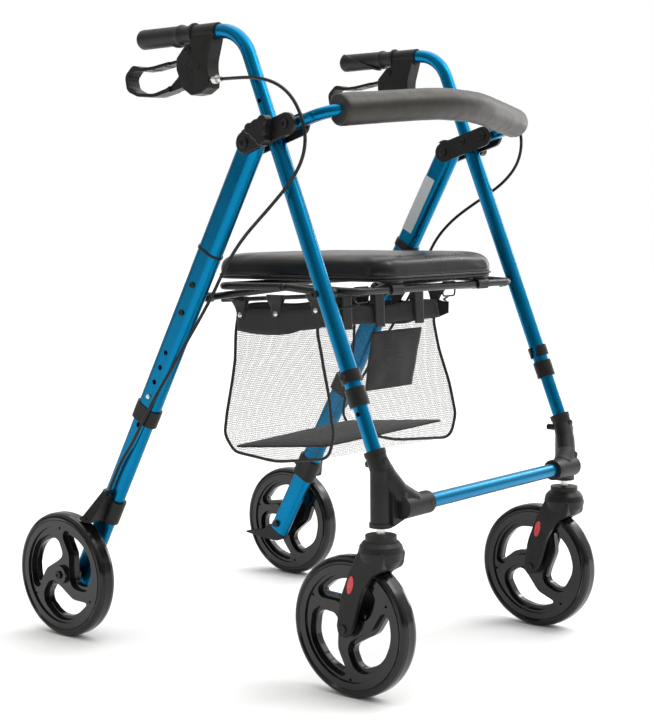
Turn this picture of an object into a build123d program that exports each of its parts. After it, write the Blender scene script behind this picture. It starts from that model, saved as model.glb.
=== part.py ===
from build123d import *
import math
import os

os.makedirs("parts", exist_ok=True)

# Frame: millimetres, +Z up, -Y the walking direction, +X the user's left.
# Every side part is built on the left and mirrored, except the wheels, which are all one hand.

SIDE_X = 242.0          # middle plane of each side frame
RUN = 0.075             # radial clearance of a running or sliding fit
TOUCH = 0.05            # gap between parts of one body that are bolted or glued together

FRONT_OD = 24.5         # front leg, outer tube
FRONT_INNER_OD = 21.0   # handle tube and lower front tube
FRONT_BORE = FRONT_INNER_OD + 2 * RUN
FRONT_LOW = 415.0
FRONT_TOP = 803.0
FRONT_UP = Vector(0, 0.3728, 0.9279)
FRONT_REF = Vector(0, -159.2, 750.3)

PIVOT_Y, PIVOT_Z = -104.2, 774.0
REAR_DOWN = Vector(0, 0.4911, -0.8711)
REAR_OUTER = (41.5, 23.5)
REAR_INNER = (38.0, 20.0)
REAR_WALL = 1.6
LEG_COLLAR_S = 466.0    # distances down the rear leg, from the pivot
BUTTON_S = 433.6
HOLE_PITCH = 26.5

PLATE_LEN = 81.0
PLATE_RISE = 16.5
PLATE_HALF = 16.0
OUT_PLATE = (254.6, 262.0)
IN_PLATE = (225.0, 229.4)
KNOB_Y, KNOB_Z = -143.25, 790.0
FRONT_BOLT = (-181.9, 797.0)

HANDLE_Z = 936.5
HANDLE_BEND = 60.0
LEVER_Y, LEVER_Z = 11.5, 913.2

STEM_X, STEM_Y = 241.0, -330.3
TRAIL = 47.75
WHEEL_R = 100.0
TYRE_W = 31.0
REAR_WHEEL_X, REAR_WHEEL_Y = 276.4, 282.6

BRACE_Y, BRACE_Z = -227.0, 561.0     # front pivot of the brace
CROSS_Y, CROSS_Z = -140.5, 568.5     # where brace and seat frame cross
SEAT_Y, SEAT_Z = 22.0, 549.0         # rear pivot of the seat frame
BRACE_X = 218.5
FRAME_X = 206.0
BAR_R = 5.5


def front(z, x=SIDE_X):
    return Vector(x, FRONT_REF.Y + FRONT_UP.Y / FRONT_UP.Z * (z - FRONT_REF.Z), z)


def rear(s, x=SIDE_X, ahead=0.0):
    y = PIVOT_Y + REAR_DOWN.Y * s + REAR_DOWN.Z * ahead
    z = PIVOT_Z + REAR_DOWN.Z * s - REAR_DOWN.Y * ahead
    return Vector(x, y, z)


def save(name, *shapes):
    solids = []
    for shape in shapes:
        solids += list(shape.solids())
    whole = solids[0] if len(solids) == 1 else Compound(children=solids)
    export_step(whole, f"parts/{name}.step")


def pair(name, *shapes):
    save(f"{name}_left", *shapes)
    save(f"{name}_right", *[mirror(shape, about=Plane.YZ) for shape in shapes])


def both(*shapes):
    return list(shapes) + [mirror(shape, about=Plane.YZ) for shape in shapes]


def rod(a, b, radius):
    a = Vector(a)
    way = Vector(b) - a
    across = Vector(0, 1, 0) if abs(way.normalized().X) > 0.9 else Vector(1, 0, 0)
    return extrude(Plane(origin=a, x_dir=across, z_dir=way) * Circle(radius), amount=way.length)


def pin(y, z, x0, x1, radius):
    return extrude(Plane.YZ.offset(x0) * Pos(y, z) * Circle(radius), amount=x1 - x0)


def hex_head(y, z, x0, x1, radius):
    return extrude(Plane.YZ.offset(x0) * Pos(y, z) * RegularPolygon(radius, 6), amount=x1 - x0)


def socket_head(y, z, x0, x1, radius):
    """A round bolt head with a rounded outer edge and a hexagon socket in its far face."""
    head = pin(y, z, x0, x1, radius)
    way = 1 if x1 > x0 else -1
    rim = head.edges().filter_by(GeomType.CIRCLE).sort_by(Axis.X)[-1 if way > 0 else 0]
    head = fillet(rim, min(1.2, 0.4 * abs(x1 - x0)))
    return head - hex_head(y, z, x1 - way * 0.5 * abs(x1 - x0), x1 + way, radius * 0.45)


def outline(points, radii):
    """A closed face in the side plane, its corners rounded one by one."""
    return make_face(FilletPolyline(*points, radius=radii, close=True))


def slab(face, x0, x1):
    return extrude(Plane.YZ.offset(x0) * face, amount=x1 - x0)


def oval(size, s0, s1, x=SIDE_X):
    """A flat-oval bar along the rear leg, its long way in the side plane."""
    place = Plane(origin=rear(s0, x), x_dir=Vector(1, 0, 0), z_dir=REAR_DOWN)
    return extrude(place * Rot(0, 0, 90) * SlotOverall(size[0], size[1]), amount=s1 - s0)


def pipe(points, radii, radius):
    path = FilletPolyline(*points, radius=radii)
    start = path @ 0
    return sweep(Plane(origin=start, z_dir=path % 0) * Circle(radius), path=path)


def soften(shape, edges, *sizes):
    """Rounds the edges by the first size that the shape can take."""
    for size in sizes:
        try:
            return fillet(edges, size)
        except ValueError:
            pass
    return shape


# ---------------------------------------------------------------- front legs and hinge plates

def front_leg():
    tube = rod(front(FRONT_LOW), front(FRONT_TOP), FRONT_OD / 2)
    tube -= rod(front(FRONT_LOW - 9), front(FRONT_TOP + 9), FRONT_BORE / 2)
    tube -= pin(KNOB_Y, KNOB_Z, SIDE_X, 270, 4.0 + RUN)
    tube -= pin(KNOB_Y, KNOB_Z, 222, SIDE_X, 2.5 + TOUCH)
    tube -= pin(BRACE_Y, BRACE_Z, 222, 262, 3.0 + TOUCH)
    tube -= pin(front(449).Y, 449, SIDE_X, 262, 1.5 + TOUCH)
    return tube


pair("front_leg", front_leg())


def plate_face(half):
    tilt = math.radians(PLATE_RISE)
    mid_y = PIVOT_Y - 0.5 * PLATE_LEN * math.cos(tilt)
    mid_z = PIVOT_Z + 0.5 * PLATE_LEN * math.sin(tilt)
    return Pos(mid_y, mid_z) * Rot(0, 0, -PLATE_RISE) * SlotCenterToCenter(PLATE_LEN, 2 * half)


def hinge_plates():
    outer = slab(plate_face(PLATE_HALF), *OUT_PLATE)
    outer = fillet(outer.edges().group_by(Axis.X)[-1], 1.8)
    outer -= pin(PIVOT_Y, PIVOT_Z, 250, 263, 4.0 + TOUCH)
    outer -= pin(*FRONT_BOLT, 250, 263, 3.0 + TOUCH)
    outer -= pin(KNOB_Y, KNOB_Z, 250, 263, 4.0 + RUN)
    inner = slab(plate_face(PLATE_HALF), *IN_PLATE)
    inner = fillet(inner.edges().group_by(Axis.X)[0], 1.2)
    inner -= pin(PIVOT_Y, PIVOT_Z, 222, 232, 4.0 + TOUCH)
    inner -= pin(*FRONT_BOLT, 222, 232, 3.0 + TOUCH)
    inner -= pin(KNOB_Y, KNOB_Z, 222, 232, 2.5 + TOUCH)
    return outer, inner


pair("hinge_plates", *hinge_plates())


def hinge_bolts():
    out = OUT_PLATE[1] + TOUCH
    inn = IN_PLATE[0] - TOUCH
    pivot = pin(PIVOT_Y, PIVOT_Z, inn - 3.4, out, 4.0)
    pivot += socket_head(PIVOT_Y, PIVOT_Z, out, out + 3.2, 7.5)
    pivot += socket_head(PIVOT_Y, PIVOT_Z, inn, inn - 3.4, 6.5)
    clamp = pin(*FRONT_BOLT, inn - 3.4, out, 3.0)
    clamp += socket_head(*FRONT_BOLT, out, out + 3.2, 6.0)
    clamp += socket_head(*FRONT_BOLT, inn, inn - 3.4, 6.0)
    middle = pin(KNOB_Y, KNOB_Z, inn - 0.5, 231.0, 2.5)
    middle += socket_head(KNOB_Y, KNOB_Z, inn, inn - 3.0, 5.0)
    brace = pin(BRACE_Y, BRACE_Z, 213.0, 255.0, 3.0)
    brace += socket_head(BRACE_Y, BRACE_Z, SIDE_X + FRONT_OD / 2 + TOUCH, 257.8, 5.6)
    return pivot, clamp, middle, brace


save("hinge_bolts", *both(*hinge_bolts()))


def leg_collars():
    """The C-clip, and the bush that closes the front leg's lower end."""
    clip = rod(front(441), front(456.5), 15.2)
    clip -= rod(front(430), front(470), FRONT_OD / 2 + TOUCH)
    gap = front(449, x=SIDE_X - 16)
    clip -= Pos(gap.X, gap.Y, gap.Z) * Box(16, 10, 40)
    clip += pin(front(449).Y, 449, 252.9, 260.2, 1.5)
    boss = pin(front(449).Y, 449, SIDE_X + 14.2, SIDE_X + 18.2, 4.6)
    clip += boss - rod(front(430), front(470), FRONT_OD / 2 + TOUCH)
    bush = rod(front(409), front(433.5), 14.6)
    bush -= rod(front(FRONT_LOW), front(440), FRONT_OD / 2 + TOUCH)
    bush -= rod(front(400), front(440), FRONT_BORE / 2)
    bush = soften(bush, bush.edges().filter_by(GeomType.CIRCLE).group_by(Axis.Z)[-1], 0.8, 0.4)
    return clip, bush


save("front_leg_collars", *both(*leg_collars()))

# ---------------------------------------------------------------- backrest

BACK_END = (SIDE_X, -160.0, 790.5)
BACK_CORNER = (SIDE_X, -242.4, 813.0)
BACK_MIDDLE = (0.0, -300.5, 835.0)
PAD_R = 23.0


def backrest_tube():
    other = [(-BACK_CORNER[0], *BACK_CORNER[1:]), (-BACK_END[0], *BACK_END[1:])]
    path = FilletPolyline(BACK_END, BACK_CORNER, BACK_MIDDLE, *other, radius=[40, 300, 40])
    section = Plane(origin=path @ 0, x_dir=Vector(1, 0, 0), z_dir=path % 0)
    tube = sweep(section * RectangleRounded(20, 16, 6.5), path=path)
    bore = sweep(section * RectangleRounded(16.8, 12.8, 5.0), path=path)
    skin = sweep(section * RectangleRounded(20.2, 16.2, 6.6), path=path)
    holes = both(pin(*FRONT_BOLT, 225, 260, 3.0 + TOUCH))
    return tube - bore - holes[0] - holes[1], skin


def backrest_pad(skin):
    near = 0.925
    end = [BACK_MIDDLE[i] + (BACK_CORNER[i] - BACK_MIDDLE[i]) * near for i in range(3)]
    path = FilletPolyline(tuple(end), BACK_MIDDLE, (-end[0], end[1], end[2]), radius=300)
    pad = sweep(Plane(origin=path @ 0, z_dir=path % 0) * Circle(PAD_R), path=path)
    pad = soften(pad, pad.edges().filter_by(GeomType.CIRCLE), 2.5, 1.5)
    return pad - skin


tube, skin = backrest_tube()
save("backrest_tube", tube)
save("backrest_pad", backrest_pad(skin))

# ---------------------------------------------------------------- handles, grips and brakes

def handle_tube():
    top = front(HANDLE_Z)
    points = [front(620), top, Vector(SIDE_X, 114, HANDLE_Z)]
    tube = pipe(points, HANDLE_BEND, FRONT_INNER_OD / 2)
    tube -= pipe(points, HANDLE_BEND, FRONT_INNER_OD / 2 - 1.5)
    for step in (-2, -1, 0, 1):
        z = KNOB_Z + 42.0 * step
        tube -= pin(front(z).Y, z, SIDE_X, 262, 3.4)
    return tube


pair("handle_tube", handle_tube())


def along_grip(profile):
    """Turns a (radius, y) profile about the handle's axis."""
    face = make_face(Polyline(*[(r, y) for r, y in profile], close=True))
    turned = revolve(Plane.XY * face, axis=Axis.Y)
    return Pos(SIDE_X, 0, HANDLE_Z) * turned


def grip():
    body = along_grip([
        (0, 5), (15.6, 5), (16.3, 6), (16.3, 8.2), (15.2, 9.2), (13.2, 10.5), (13.0, 24),
        (14.0, 28), (15.6, 31), (15.8, 34), (15.0, 37), (14.4, 42), (14.9, 112),
        (14.6, 116), (12.6, 119), (0, 119),
    ])
    wing = outline([(38, 921), (42, 918.5), (114, 946), (112, 951.5)], [1.0, 1.0, 1.0, 1.0])
    wing = slab(wing, SIDE_X - 19, SIDE_X + 4)
    wing &= rod((SIDE_X, 30, HANDLE_Z), (SIDE_X, 118, HANDLE_Z), 17.4)
    body += wing
    return body - rod((SIDE_X, 0, HANDLE_Z), (SIDE_X, 114.4, HANDLE_Z), FRONT_INNER_OD / 2 + TOUCH)


pair("grip", grip())


def brake_housing():
    side = outline(
        [(-40, 936.5), (4.6, 936.5), (4.6, 923), (16, 921), (35, 902.5), (35.5, 886), (31.5, 876.5),
         (23.5, 858), (6.5, 847), (-12, 848.5), (-28, 857), (-29.5, 871), (-25.5, 889), (-34, 916)],
        [0.5, 0.5, 1.0, 4, 3, 4, 10, 3, 4, 6, 3, 16, 50, 40],
    )
    body = slab(side, 229.0, 255.0)
    body = soften(body, body.edges().group_by(Axis.X)[0] + body.edges().group_by(Axis.X)[-1], 1.5, 0.8)
    body += rod((SIDE_X, -40, HANDLE_Z), (SIDE_X, 4.6, HANDLE_Z), 13.4)
    ring = Plane.YZ.offset(254.8) * Pos(2.5, 889) * Rot(0, 0, 10)
    body += extrude(ring * (Ellipse(15, 8.2) - Ellipse(13.7, 6.9)), amount=0.9)
    slot = make_face(Polyline((2, 924.2), (22, 924.2), (46, 910), (46, 840), (7, 840), (2, 862),
                              close=True))
    body -= slab(slot, SIDE_X - 9.0, SIDE_X + 9.0)
    body -= rod((SIDE_X, -50, HANDLE_Z), (SIDE_X, 10, HANDLE_Z), FRONT_INNER_OD / 2 + 2 * TOUCH)
    body -= rod((SIDE_X, 4.6, HANDLE_Z), (SIDE_X, 10, HANDLE_Z), 16.6)
    body -= pin(LEVER_Y, LEVER_Z, 225, 260, 2.5 + TOUCH)
    body -= rod((248, -50, 868), (248, -14, 868), 4.0 + TOUCH)
    return body


pair("brake_housing", brake_housing())


def brake_hardware():
    bolt = pin(LEVER_Y, LEVER_Z, 227.5, 256.5, 2.5)
    bolt += socket_head(LEVER_Y, LEVER_Z, 255.05, 257.3, 5.2)
    bolt += socket_head(LEVER_Y, LEVER_Z, 228.95, 226.7, 5.2)
    barrel = rod((248, -15, 868), (248, -36, 868), 4.0)
    wheel = Plane(origin=(248, -34.4, 868), x_dir=(1, 0, 0), z_dir=(0, -1, 0))
    barrel += extrude(wheel * RegularPolygon(6.4, 12), amount=7.0)
    barrel += rod((248, -41, 868), (248, -50, 867.6), 3.6)
    barrel -= rod((248, -10, 868), (248, -60, 868), 1.2)
    return bolt, barrel


pair("brake_hardware", *brake_hardware())


def brake_lever():
    outer = outline(
        [(8, 906), (28, 902), (86, 894.5), (110, 893.5), (129, 899.5), (147, 884),
         (143, 861), (120, 851.5), (84, 849), (33, 858.5), (12, 866)],
        [4, 20, 60, 30, 12, 12, 14, 30, 50, 20, 4],
    )
    inner = outline(
        [(36, 896.5), (86, 889.5), (111, 888.5), (130, 892), (142, 880), (138, 865),
         (119, 856.5), (85, 854), (55, 861), (35, 876), (32, 888)],
        [4, 60, 30, 7, 8, 9, 26, 50, 30, 10, 4],
    )
    loop = outer - inner
    thin = slab(loop, SIDE_X - 8.5, SIDE_X + 8.5)
    wide = slab(loop, SIDE_X - 12, SIDE_X + 12) & Pos(SIDE_X, 102, 880) * Box(40, 100, 90)
    lever = thin + wide
    for y, z in ((62, 894.9), (88, 891.4)):
        lever += pin(y, z, SIDE_X - 8.5, SIDE_X + 8.5, 3.0)
    web = outline([(5.5, 916), (17, 918), (31, 903), (29, 872), (12, 866), (6, 880)],
                  [3, 4, 4, 4, 3, 8])
    lever += slab(web, SIDE_X - 8.5, SIDE_X + 8.5)
    lever += pin(LEVER_Y, LEVER_Z, SIDE_X - 8.5, SIDE_X + 8.5, 6.6)
    return lever - pin(LEVER_Y, LEVER_Z, 230, 255, 2.5 + RUN)


pair("brake_lever", brake_lever())


def height_knob():
    lobes = Sketch() + Circle(15)
    for turn in (8, 128, 248):
        lobes += Rot(0, 0, turn) * Pos(15.5, 0) * Circle(8)
    lobes = fillet(lobes.vertices(), 6)
    knob = Plane.YZ.offset(264) * Pos(KNOB_Y, KNOB_Z) * lobes
    knob = extrude(knob, amount=15)
    knob = fillet(knob.edges().group_by(Axis.X)[-1], 2.5)
    knob += pin(KNOB_Y, KNOB_Z, 262.4, 264, 9)
    return knob + pin(KNOB_Y, KNOB_Z, 252.9, 264, 4.0)


pair("height_knob", height_knob())

# ---------------------------------------------------------------- lower front frame and castors

def front_tube_lower():
    tube = rod(front(334), front(500), FRONT_INNER_OD / 2)
    tube -= rod(front(330), front(505), FRONT_INNER_OD / 2 - 1.5)
    tube -= pin(front(399).Y, 399, SIDE_X, 262, 3.4)
    return tube


save("front_tubes_lower", *both(front_tube_lower()))

CROSSBAR_Y, CROSSBAR_Z, CROSSBAR_R = -354.0, 272.0, 10.5


def castor_bracket():
    """A tilted socket for the leg, an upright one for the castor and a swept arm to the crossbar."""
    body = rod(front(322, x=SIDE_X - 0.5), front(346, x=SIDE_X - 0.5), 14.6)
    body += rod(front(343, x=SIDE_X - 0.5), front(349.6, x=SIDE_X - 0.5), 15.6)
    body += rod((STEM_X, STEM_Y, 245), (STEM_X, STEM_Y, 323), 14.6)
    body += rod((STEM_X, STEM_Y, 245), (STEM_X, STEM_Y, 251), 16.2)
    body += Pos(STEM_X, STEM_Y, 323) * Sphere(14.6)
    body += rod((166, CROSSBAR_Y, CROSSBAR_Z), (226, CROSSBAR_Y, CROSSBAR_Z), 16.0)
    stations = [(240.5, -327.5, 332, 14.4), (233, -337, 312, 14.6), (221, -346, 292, 15.0),
                (200, -352, 278, 15.4)]
    for a, b in zip(stations, stations[1:]):
        body += rod(a[:3], b[:3], min(a[3], b[3]))
        body += Pos(*b[:3]) * Sphere(b[3])
    web = make_face(Polyline((180, 262), (238, 247), (238, 300), (215, 285), close=True))
    body += extrude(Plane(origin=(0, -340, 0), x_dir=(1, 0, 0), z_dir=(0, -1, 0)) * web,
                    amount=10)
    low = Plane(origin=(0, 0, 245), z_dir=(0, 0, -1))
    body -= extrude(low * Pos(200, 330) * Rectangle(200, 200), amount=60)
    for x, z, y_face in ((242.1, 337.1, -341.5), (224.7, 289.2, -361.5), (173.6, 272.8, -369.5)):
        body += rod((x, y_face + 14, z), (x, y_face, z), 5.4)
    body += rod((236, -303, 329), (236, -318, 329), 4.8)
    body -= rod(front(334 - TOUCH), front(380), FRONT_INNER_OD / 2 + TOUCH)
    body -= rod((STEM_X, STEM_Y, 240), (STEM_X, STEM_Y, 313), 6.0 + RUN)
    body -= rod((100, CROSSBAR_Y, CROSSBAR_Z), (206, CROSSBAR_Y, CROSSBAR_Z),
                CROSSBAR_R + TOUCH)
    screws = []
    for x, z, y_face in ((242.1, 337.1, -341.5), (224.7, 289.2, -361.5), (173.6, 272.8, -369.5)):
        body -= rod((x, y_face - 3, z), (x, y_face + 1.2, z), 3.9)
        screws.append(rod((x, y_face - 0.6, z), (x, y_face + 1.15, z), 3.6))
    return body, screws


body, screws = castor_bracket()
pair("castor_bracket", body, *screws)
crossbar = rod((-205.5, CROSSBAR_Y, CROSSBAR_Z), (205.5, CROSSBAR_Y, CROSSBAR_Z), CROSSBAR_R)
crossbar -= rod((-210, CROSSBAR_Y, CROSSBAR_Z), (210, CROSSBAR_Y, CROSSBAR_Z), CROSSBAR_R - 1.6)
save("crossbar", crossbar)

AXLE_Y = STEM_Y + TRAIL
ARM_IN, ARM_OUT = 17.6, 26.0


def castor_fork():
    dome = make_face(Polyline((0, 188), (22, 190), (29.5, 200), (31.5, 212), (29.5, 220),
                              (25, 225.5), (21.8, 226.7), (21.8, 234.7), (0, 234.7), close=True))
    dome = revolve(Plane.XZ * dome, axis=Axis.Z)
    dome = soften(dome, dome.edges().filter_by(GeomType.CIRCLE), 0.9, 0.5)
    dome = Pos(STEM_X, STEM_Y, 0) * dome
    side = outline(
        [(STEM_Y - 24, 214), (STEM_Y - 20, 190), (STEM_Y - 2, 180), (STEM_Y + 17, 152),
         (STEM_Y + 27, 118), (AXLE_Y - 12.5, 96), (AXLE_Y - 5, 87), (AXLE_Y + 9, 89),
         (AXLE_Y + 11.5, 104), (AXLE_Y + 5, 143), (STEM_Y + 36, 184), (STEM_Y + 20, 214)],
        [6, 12, 16, 60, 60, 9, 9, 9, 9, 80, 60, 6],
    )
    arms = slab(side, STEM_X - ARM_OUT, STEM_X + ARM_OUT)
    arms = soften(arms, arms.edges().group_by(Axis.X)[0] + arms.edges().group_by(Axis.X)[-1],
                  2.2, 1.2)
    fork = dome + arms
    fork -= pin(AXLE_Y, WHEEL_R, STEM_X - ARM_IN, STEM_X + ARM_IN, 103.5)
    fork -= rod((STEM_X, STEM_Y, 190), (STEM_X, STEM_Y, 240), 6.0 + TOUCH)
    fork -= pin(AXLE_Y, WHEEL_R, STEM_X - 40, STEM_X + 40, 4.0 + TOUCH)
    for side_way in (-1, 1):
        face = STEM_X + side_way * (ARM_OUT - 1.2)
        fork -= slab(reflector_face(0.1), face, face + side_way * 5)
    return fork


def reflector_face(grow):
    y, z = STEM_Y + 33.5, 164.3
    return Pos(y, z) * Rot(0, 0, -76.3) * Ellipse(13.2 + grow, 5.0 + grow)


pair("castor_fork", castor_fork())
reflectors = [slab(reflector_face(0.0), STEM_X + way * (ARM_OUT - 1.15),
                   STEM_X + way * (ARM_OUT + 0.7)) for way in (-1, 1)]
pair("reflector", *reflectors)


def castor_stem():
    stem = rod((STEM_X, STEM_Y, 205), (STEM_X, STEM_Y, 312), 6.0)
    bolt = pin(AXLE_Y, WHEEL_R, STEM_X - 28, STEM_X + 28, 4.0)
    for way in (-1, 1):
        face = STEM_X + way * (ARM_OUT + TOUCH)
        bolt += socket_head(AXLE_Y, WHEEL_R, face, face + way * 2.6, 6.2)
    return stem, bolt


pair("castor_stem", *castor_stem())

# ---------------------------------------------------------------- wheels

OPENING = [(68.5, 2.5), (70, -28), (70, -60), (62, -96), (29, -108), (25.5, -65), (44, -26)]
OPENING_ROUND = [3.0, 55, 38, 15, 12, 10, 26]


def polar(r, deg):
    """A point on the wheel's face as it is seen from the user's right."""
    return (-r * math.cos(math.radians(deg)), r * math.sin(math.radians(deg)))


def wheel_hole(phase, grow=0.0):
    points = [polar(r, phase + deg) for r, deg in OPENING]
    face = outline(points, OPENING_ROUND)
    return offset(face, grow) if grow else face


def wheel(phase):
    rim = pin(0, 0, -11, 11, 80)
    for way in (-1, 1):
        for turn in (0, 120, 240):
            rim -= slab(wheel_hole(phase + turn, 7.0), way * 5, way * 12)
    rim += pin(0, 0, -14, 14, 88) - pin(0, 0, -15, 15, 79)
    rim += pin(0, 0, -17, 17, 15)
    for turn in (0, 120, 240):
        rim -= slab(wheel_hole(phase + turn), -20, 20)
        at = polar(27, phase + turn - 103)
        rim -= slab(Pos(*at) * Rot(0, 0, 180 - phase - turn + 103) * RegularPolygon(4.5, 3), -20, 20)
        at = polar(75, phase + turn - 109)
        rim -= slab(Pos(*at) * Rot(0, 0, -phase - turn + 109) * RegularPolygon(3.4, 3), -20, 20)
    rim -= pin(0, 0, -20, 20, 4.0 + RUN)
    half = TYRE_W / 2
    section = make_face(Polyline((87, -12.5), (92, -half), (95.5, -half + 0.8), (98.6, -half + 4),
                                 (100, -half + 9), (100, half - 9), (98.6, half - 4),
                                 (95.5, half - 0.8), (92, half), (87, 12.5), close=True))
    tyre = revolve(Plane(origin=(0, 0, 0), x_dir=(0, 0, 1), z_dir=(0, -1, 0)) * section,
                   axis=Axis.X)
    groove = pin(0, 0, -14 - TOUCH, 14 + TOUCH, 88 + TOUCH)
    return rim, tyre - groove


def place_wheel(name, phase, x, y):
    rim, tyre = wheel(phase)
    spot = Pos(x, y, WHEEL_R)
    save(name.replace("#", "rim"), spot * rim)
    save(name.replace("#", "tyre"), spot * tyre)


place_wheel("front_#_right", 20, -STEM_X, AXLE_Y)
place_wheel("front_#_left", 60, STEM_X, AXLE_Y)
place_wheel("rear_#_right", 81, -REAR_WHEEL_X, REAR_WHEEL_Y)
place_wheel("rear_#_left", 31, REAR_WHEEL_X, REAR_WHEEL_Y)

# ---------------------------------------------------------------- rear legs

BOLTS_S = (235.0, 283.1)
PIVOT_S = 258.3


def rear_leg():
    tube = oval(REAR_OUTER, -8, LEG_COLLAR_S + 7.8)
    tube -= oval((REAR_INNER[0] + 2 * RUN, REAR_INNER[1] + 2 * RUN), -12, LEG_COLLAR_S + 12)
    tube -= pin(PIVOT_Y, PIVOT_Z, 225, 260, 4.0 + RUN)
    for s in BOLTS_S:
        tube -= pin(rear(s).Y, rear(s).Z, 225, 260, 2.5 + TOUCH)
    for step in range(4):
        at = rear(BUTTON_S - step * HOLE_PITCH)
        tube -= pin(at.Y, at.Z, SIDE_X, 260, 3.9 + 0.1)
    return tube


pair("rear_leg", rear_leg())


def leg_collars_rear():
    """The plug in the leg's rounded top, the collar at its lower end and the cable tie."""
    head = pin(PIVOT_Y, PIVOT_Z, SIDE_X - 11.75, SIDE_X + 11.75, 20.75)
    keep = Plane(origin=rear(-8.3), x_dir=Vector(1, 0, 0), z_dir=-REAR_DOWN)
    head &= extrude(keep * Rectangle(60, 60), amount=40)
    plug = oval((REAR_INNER[0] - 0.4, REAR_INNER[1] - 0.4), -8.3, 50)
    plug = head + plug - pin(PIVOT_Y, PIVOT_Z, 225, 260, 4.0 + RUN)
    collar = oval((REAR_OUTER[0] + 6, REAR_OUTER[1] + 3.4), LEG_COLLAR_S - 14, LEG_COLLAR_S + 14)
    collar -= oval((REAR_OUTER[0] + 0.1, REAR_OUTER[1] + 0.1), LEG_COLLAR_S - 20, LEG_COLLAR_S + 8)
    collar -= oval((REAR_INNER[0] + 2 * RUN, REAR_INNER[1] + 2 * RUN), LEG_COLLAR_S - 20,
                   LEG_COLLAR_S + 20)
    return plug, collar


def cable_tie(s, length, thick):
    tie = oval((REAR_OUTER[0] + 2 * thick, REAR_OUTER[1] + 2 * thick), s - length / 2, s + length / 2)
    tie = soften(tie, tie.edges(), 0.45 * thick, 0.3 * thick)
    return tie - oval((REAR_OUTER[0] + 0.1, REAR_OUTER[1] + 0.1), s - length, s + length)


ties = [cable_tie(178.5, 13.0, 2.2), mirror(cable_tie(178.5, 4.0, 1.6), about=Plane.YZ)]
save("rear_leg_collars", *both(*leg_collars_rear()), *ties)


def seat_brackets():
    """The bolted bracket inside each rear leg that carries the seat frame's rear pivot."""
    face = SIDE_X - REAR_OUTER[1] / 2 - TOUCH
    place = Plane(origin=rear(BOLTS_S[0] - 10, face), x_dir=Vector(0, 0.8711, 0.4911),
                  z_dir=Vector(-1, 0, 0))
    strip = extrude(place * Pos(0, 34) * RectangleRounded(18, 68, 6), amount=3.0)
    bracket = strip + pin(SEAT_Y, SEAT_Z, face - 17.5, face, 6.5)
    bracket += pin(SEAT_Y, SEAT_Z, 198.0, face - 17, 3.0)
    bracket += pin(SEAT_Y, SEAT_Z, 196.0, 199.0, 5.5)
    for s in BOLTS_S:
        at = rear(s)
        bracket -= pin(at.Y, at.Z, 220, 232, 2.5 + TOUCH)
    bolts = []
    for s in BOLTS_S:
        at = rear(s)
        bolt = pin(at.Y, at.Z, face - 5.4, 254.0, 2.5)
        bolt += socket_head(at.Y, at.Z, SIDE_X + REAR_OUTER[1] / 2 + TOUCH, 256.2, 4.8)
        bolt += socket_head(at.Y, at.Z, face - 3.05, face - 5.6, 4.8)
        bolts.append(bolt)
    return bracket, *bolts


save("rear_seat_brackets", *both(*seat_brackets()))


def rear_tube_lower():
    tube = oval(REAR_INNER, 372, 790)
    hollow = (REAR_INNER[0] - 2 * REAR_WALL, REAR_INNER[1] - 2 * REAR_WALL)
    tube -= oval(hollow, 365, 795)
    for step in range(-2, 3):
        at = rear(BUTTON_S + step * HOLE_PITCH)
        tube -= pin(at.Y, at.Z, SIDE_X, 260, 4.3)
    tube -= pin(REAR_WHEEL_Y, WHEEL_R, 225, 260, 4.0 + TOUCH)
    return tube


pair("rear_tube_lower", rear_tube_lower())
at = rear(BUTTON_S)
button = pin(at.Y, at.Z, 252.35, 256.6, 3.9)
button = fillet(button.edges().group_by(Axis.X)[-1], 1.4)
pair("snap_button", button)

# brake bracket: a collar on the lower leg and an arm that reaches out over the tyre
BRAKE_S0, BRAKE_S1 = 625.5, 665.5


def brake_bracket():
    body = oval((REAR_INNER[0] + 9, REAR_INNER[1] + 7), BRAKE_S0, BRAKE_S1)
    body = soften(body, body.edges().group_by(Axis.Z)[-1], 1.0, 0.5)
    arm = outline(
        [(196, 232), (199.5, 240), (207, 240.5), (236, 200), (242, 197), (242, 190), (216, 190)],
        [4, 3, 5, 6, 2, 2, 4],
    )
    flank = make_face(Polyline((250, 260), (257, 260), (264, 240), (284, 192), (284, 180), (250, 180),
                               close=True))
    arm = slab(arm, 253, 284) & extrude(Plane.XZ * flank, amount=-300)
    arm = soften(arm, arm.faces().sort_by(Axis.X)[-1].edges(), 1.5, 0.8)
    body += arm
    body += rod((257.5, 213.6, 214.5), (257.5, 204.3, 231.0), 6.5)
    body -= pin(REAR_WHEEL_Y, WHEEL_R, 259.5, 290, 103.0)
    body -= oval((REAR_INNER[0] + 0.1, REAR_INNER[1] + 0.1), BRAKE_S0 - 9, BRAKE_S1 + 30)
    nub = rear(BRAKE_S0 + 20, ahead=-20)
    body += pin(nub.Y, nub.Z, 229.5, 233.0, 4.5) - oval((38.1, 20.1), BRAKE_S0, BRAKE_S1)
    shoe_y, shoe_z = SHOE_PIVOT
    cut = outline([(214, 205), (232, 205), (256, 200), (256, 172), (214, 172)], [2, 2, 2, 2, 2])
    body -= slab(cut, 262.0, 275.5)
    body -= pin(shoe_y, shoe_z, 255, 290, 2.0 + TOUCH)
    body -= rod((257.5, 204.3, 231.0), (257.5, 190.2, 256.0), 5.4)
    body -= rod((257.5, 213.0, 215.6), (257.5, 204.0, 231.5), 3.0 + TOUCH)
    return body


SHOE_PIVOT = (226.0, 196.5)


def shoe():
    face = outline([(218, 200), (233, 200), (248, 190.5), (249.5, 184.8), (240, 180.5),
                    (233.5, 186.5), (218, 190)],
                   [3, 3, 2, 1.2, 1.0, 3, 3])
    body = slab(face, 262.6, 274.9)
    body -= pin(REAR_WHEEL_Y, WHEEL_R, 259, 290, WHEEL_R + 2.0)
    return body - pin(*SHOE_PIVOT, 255, 290, 2.0 + RUN)


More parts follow.
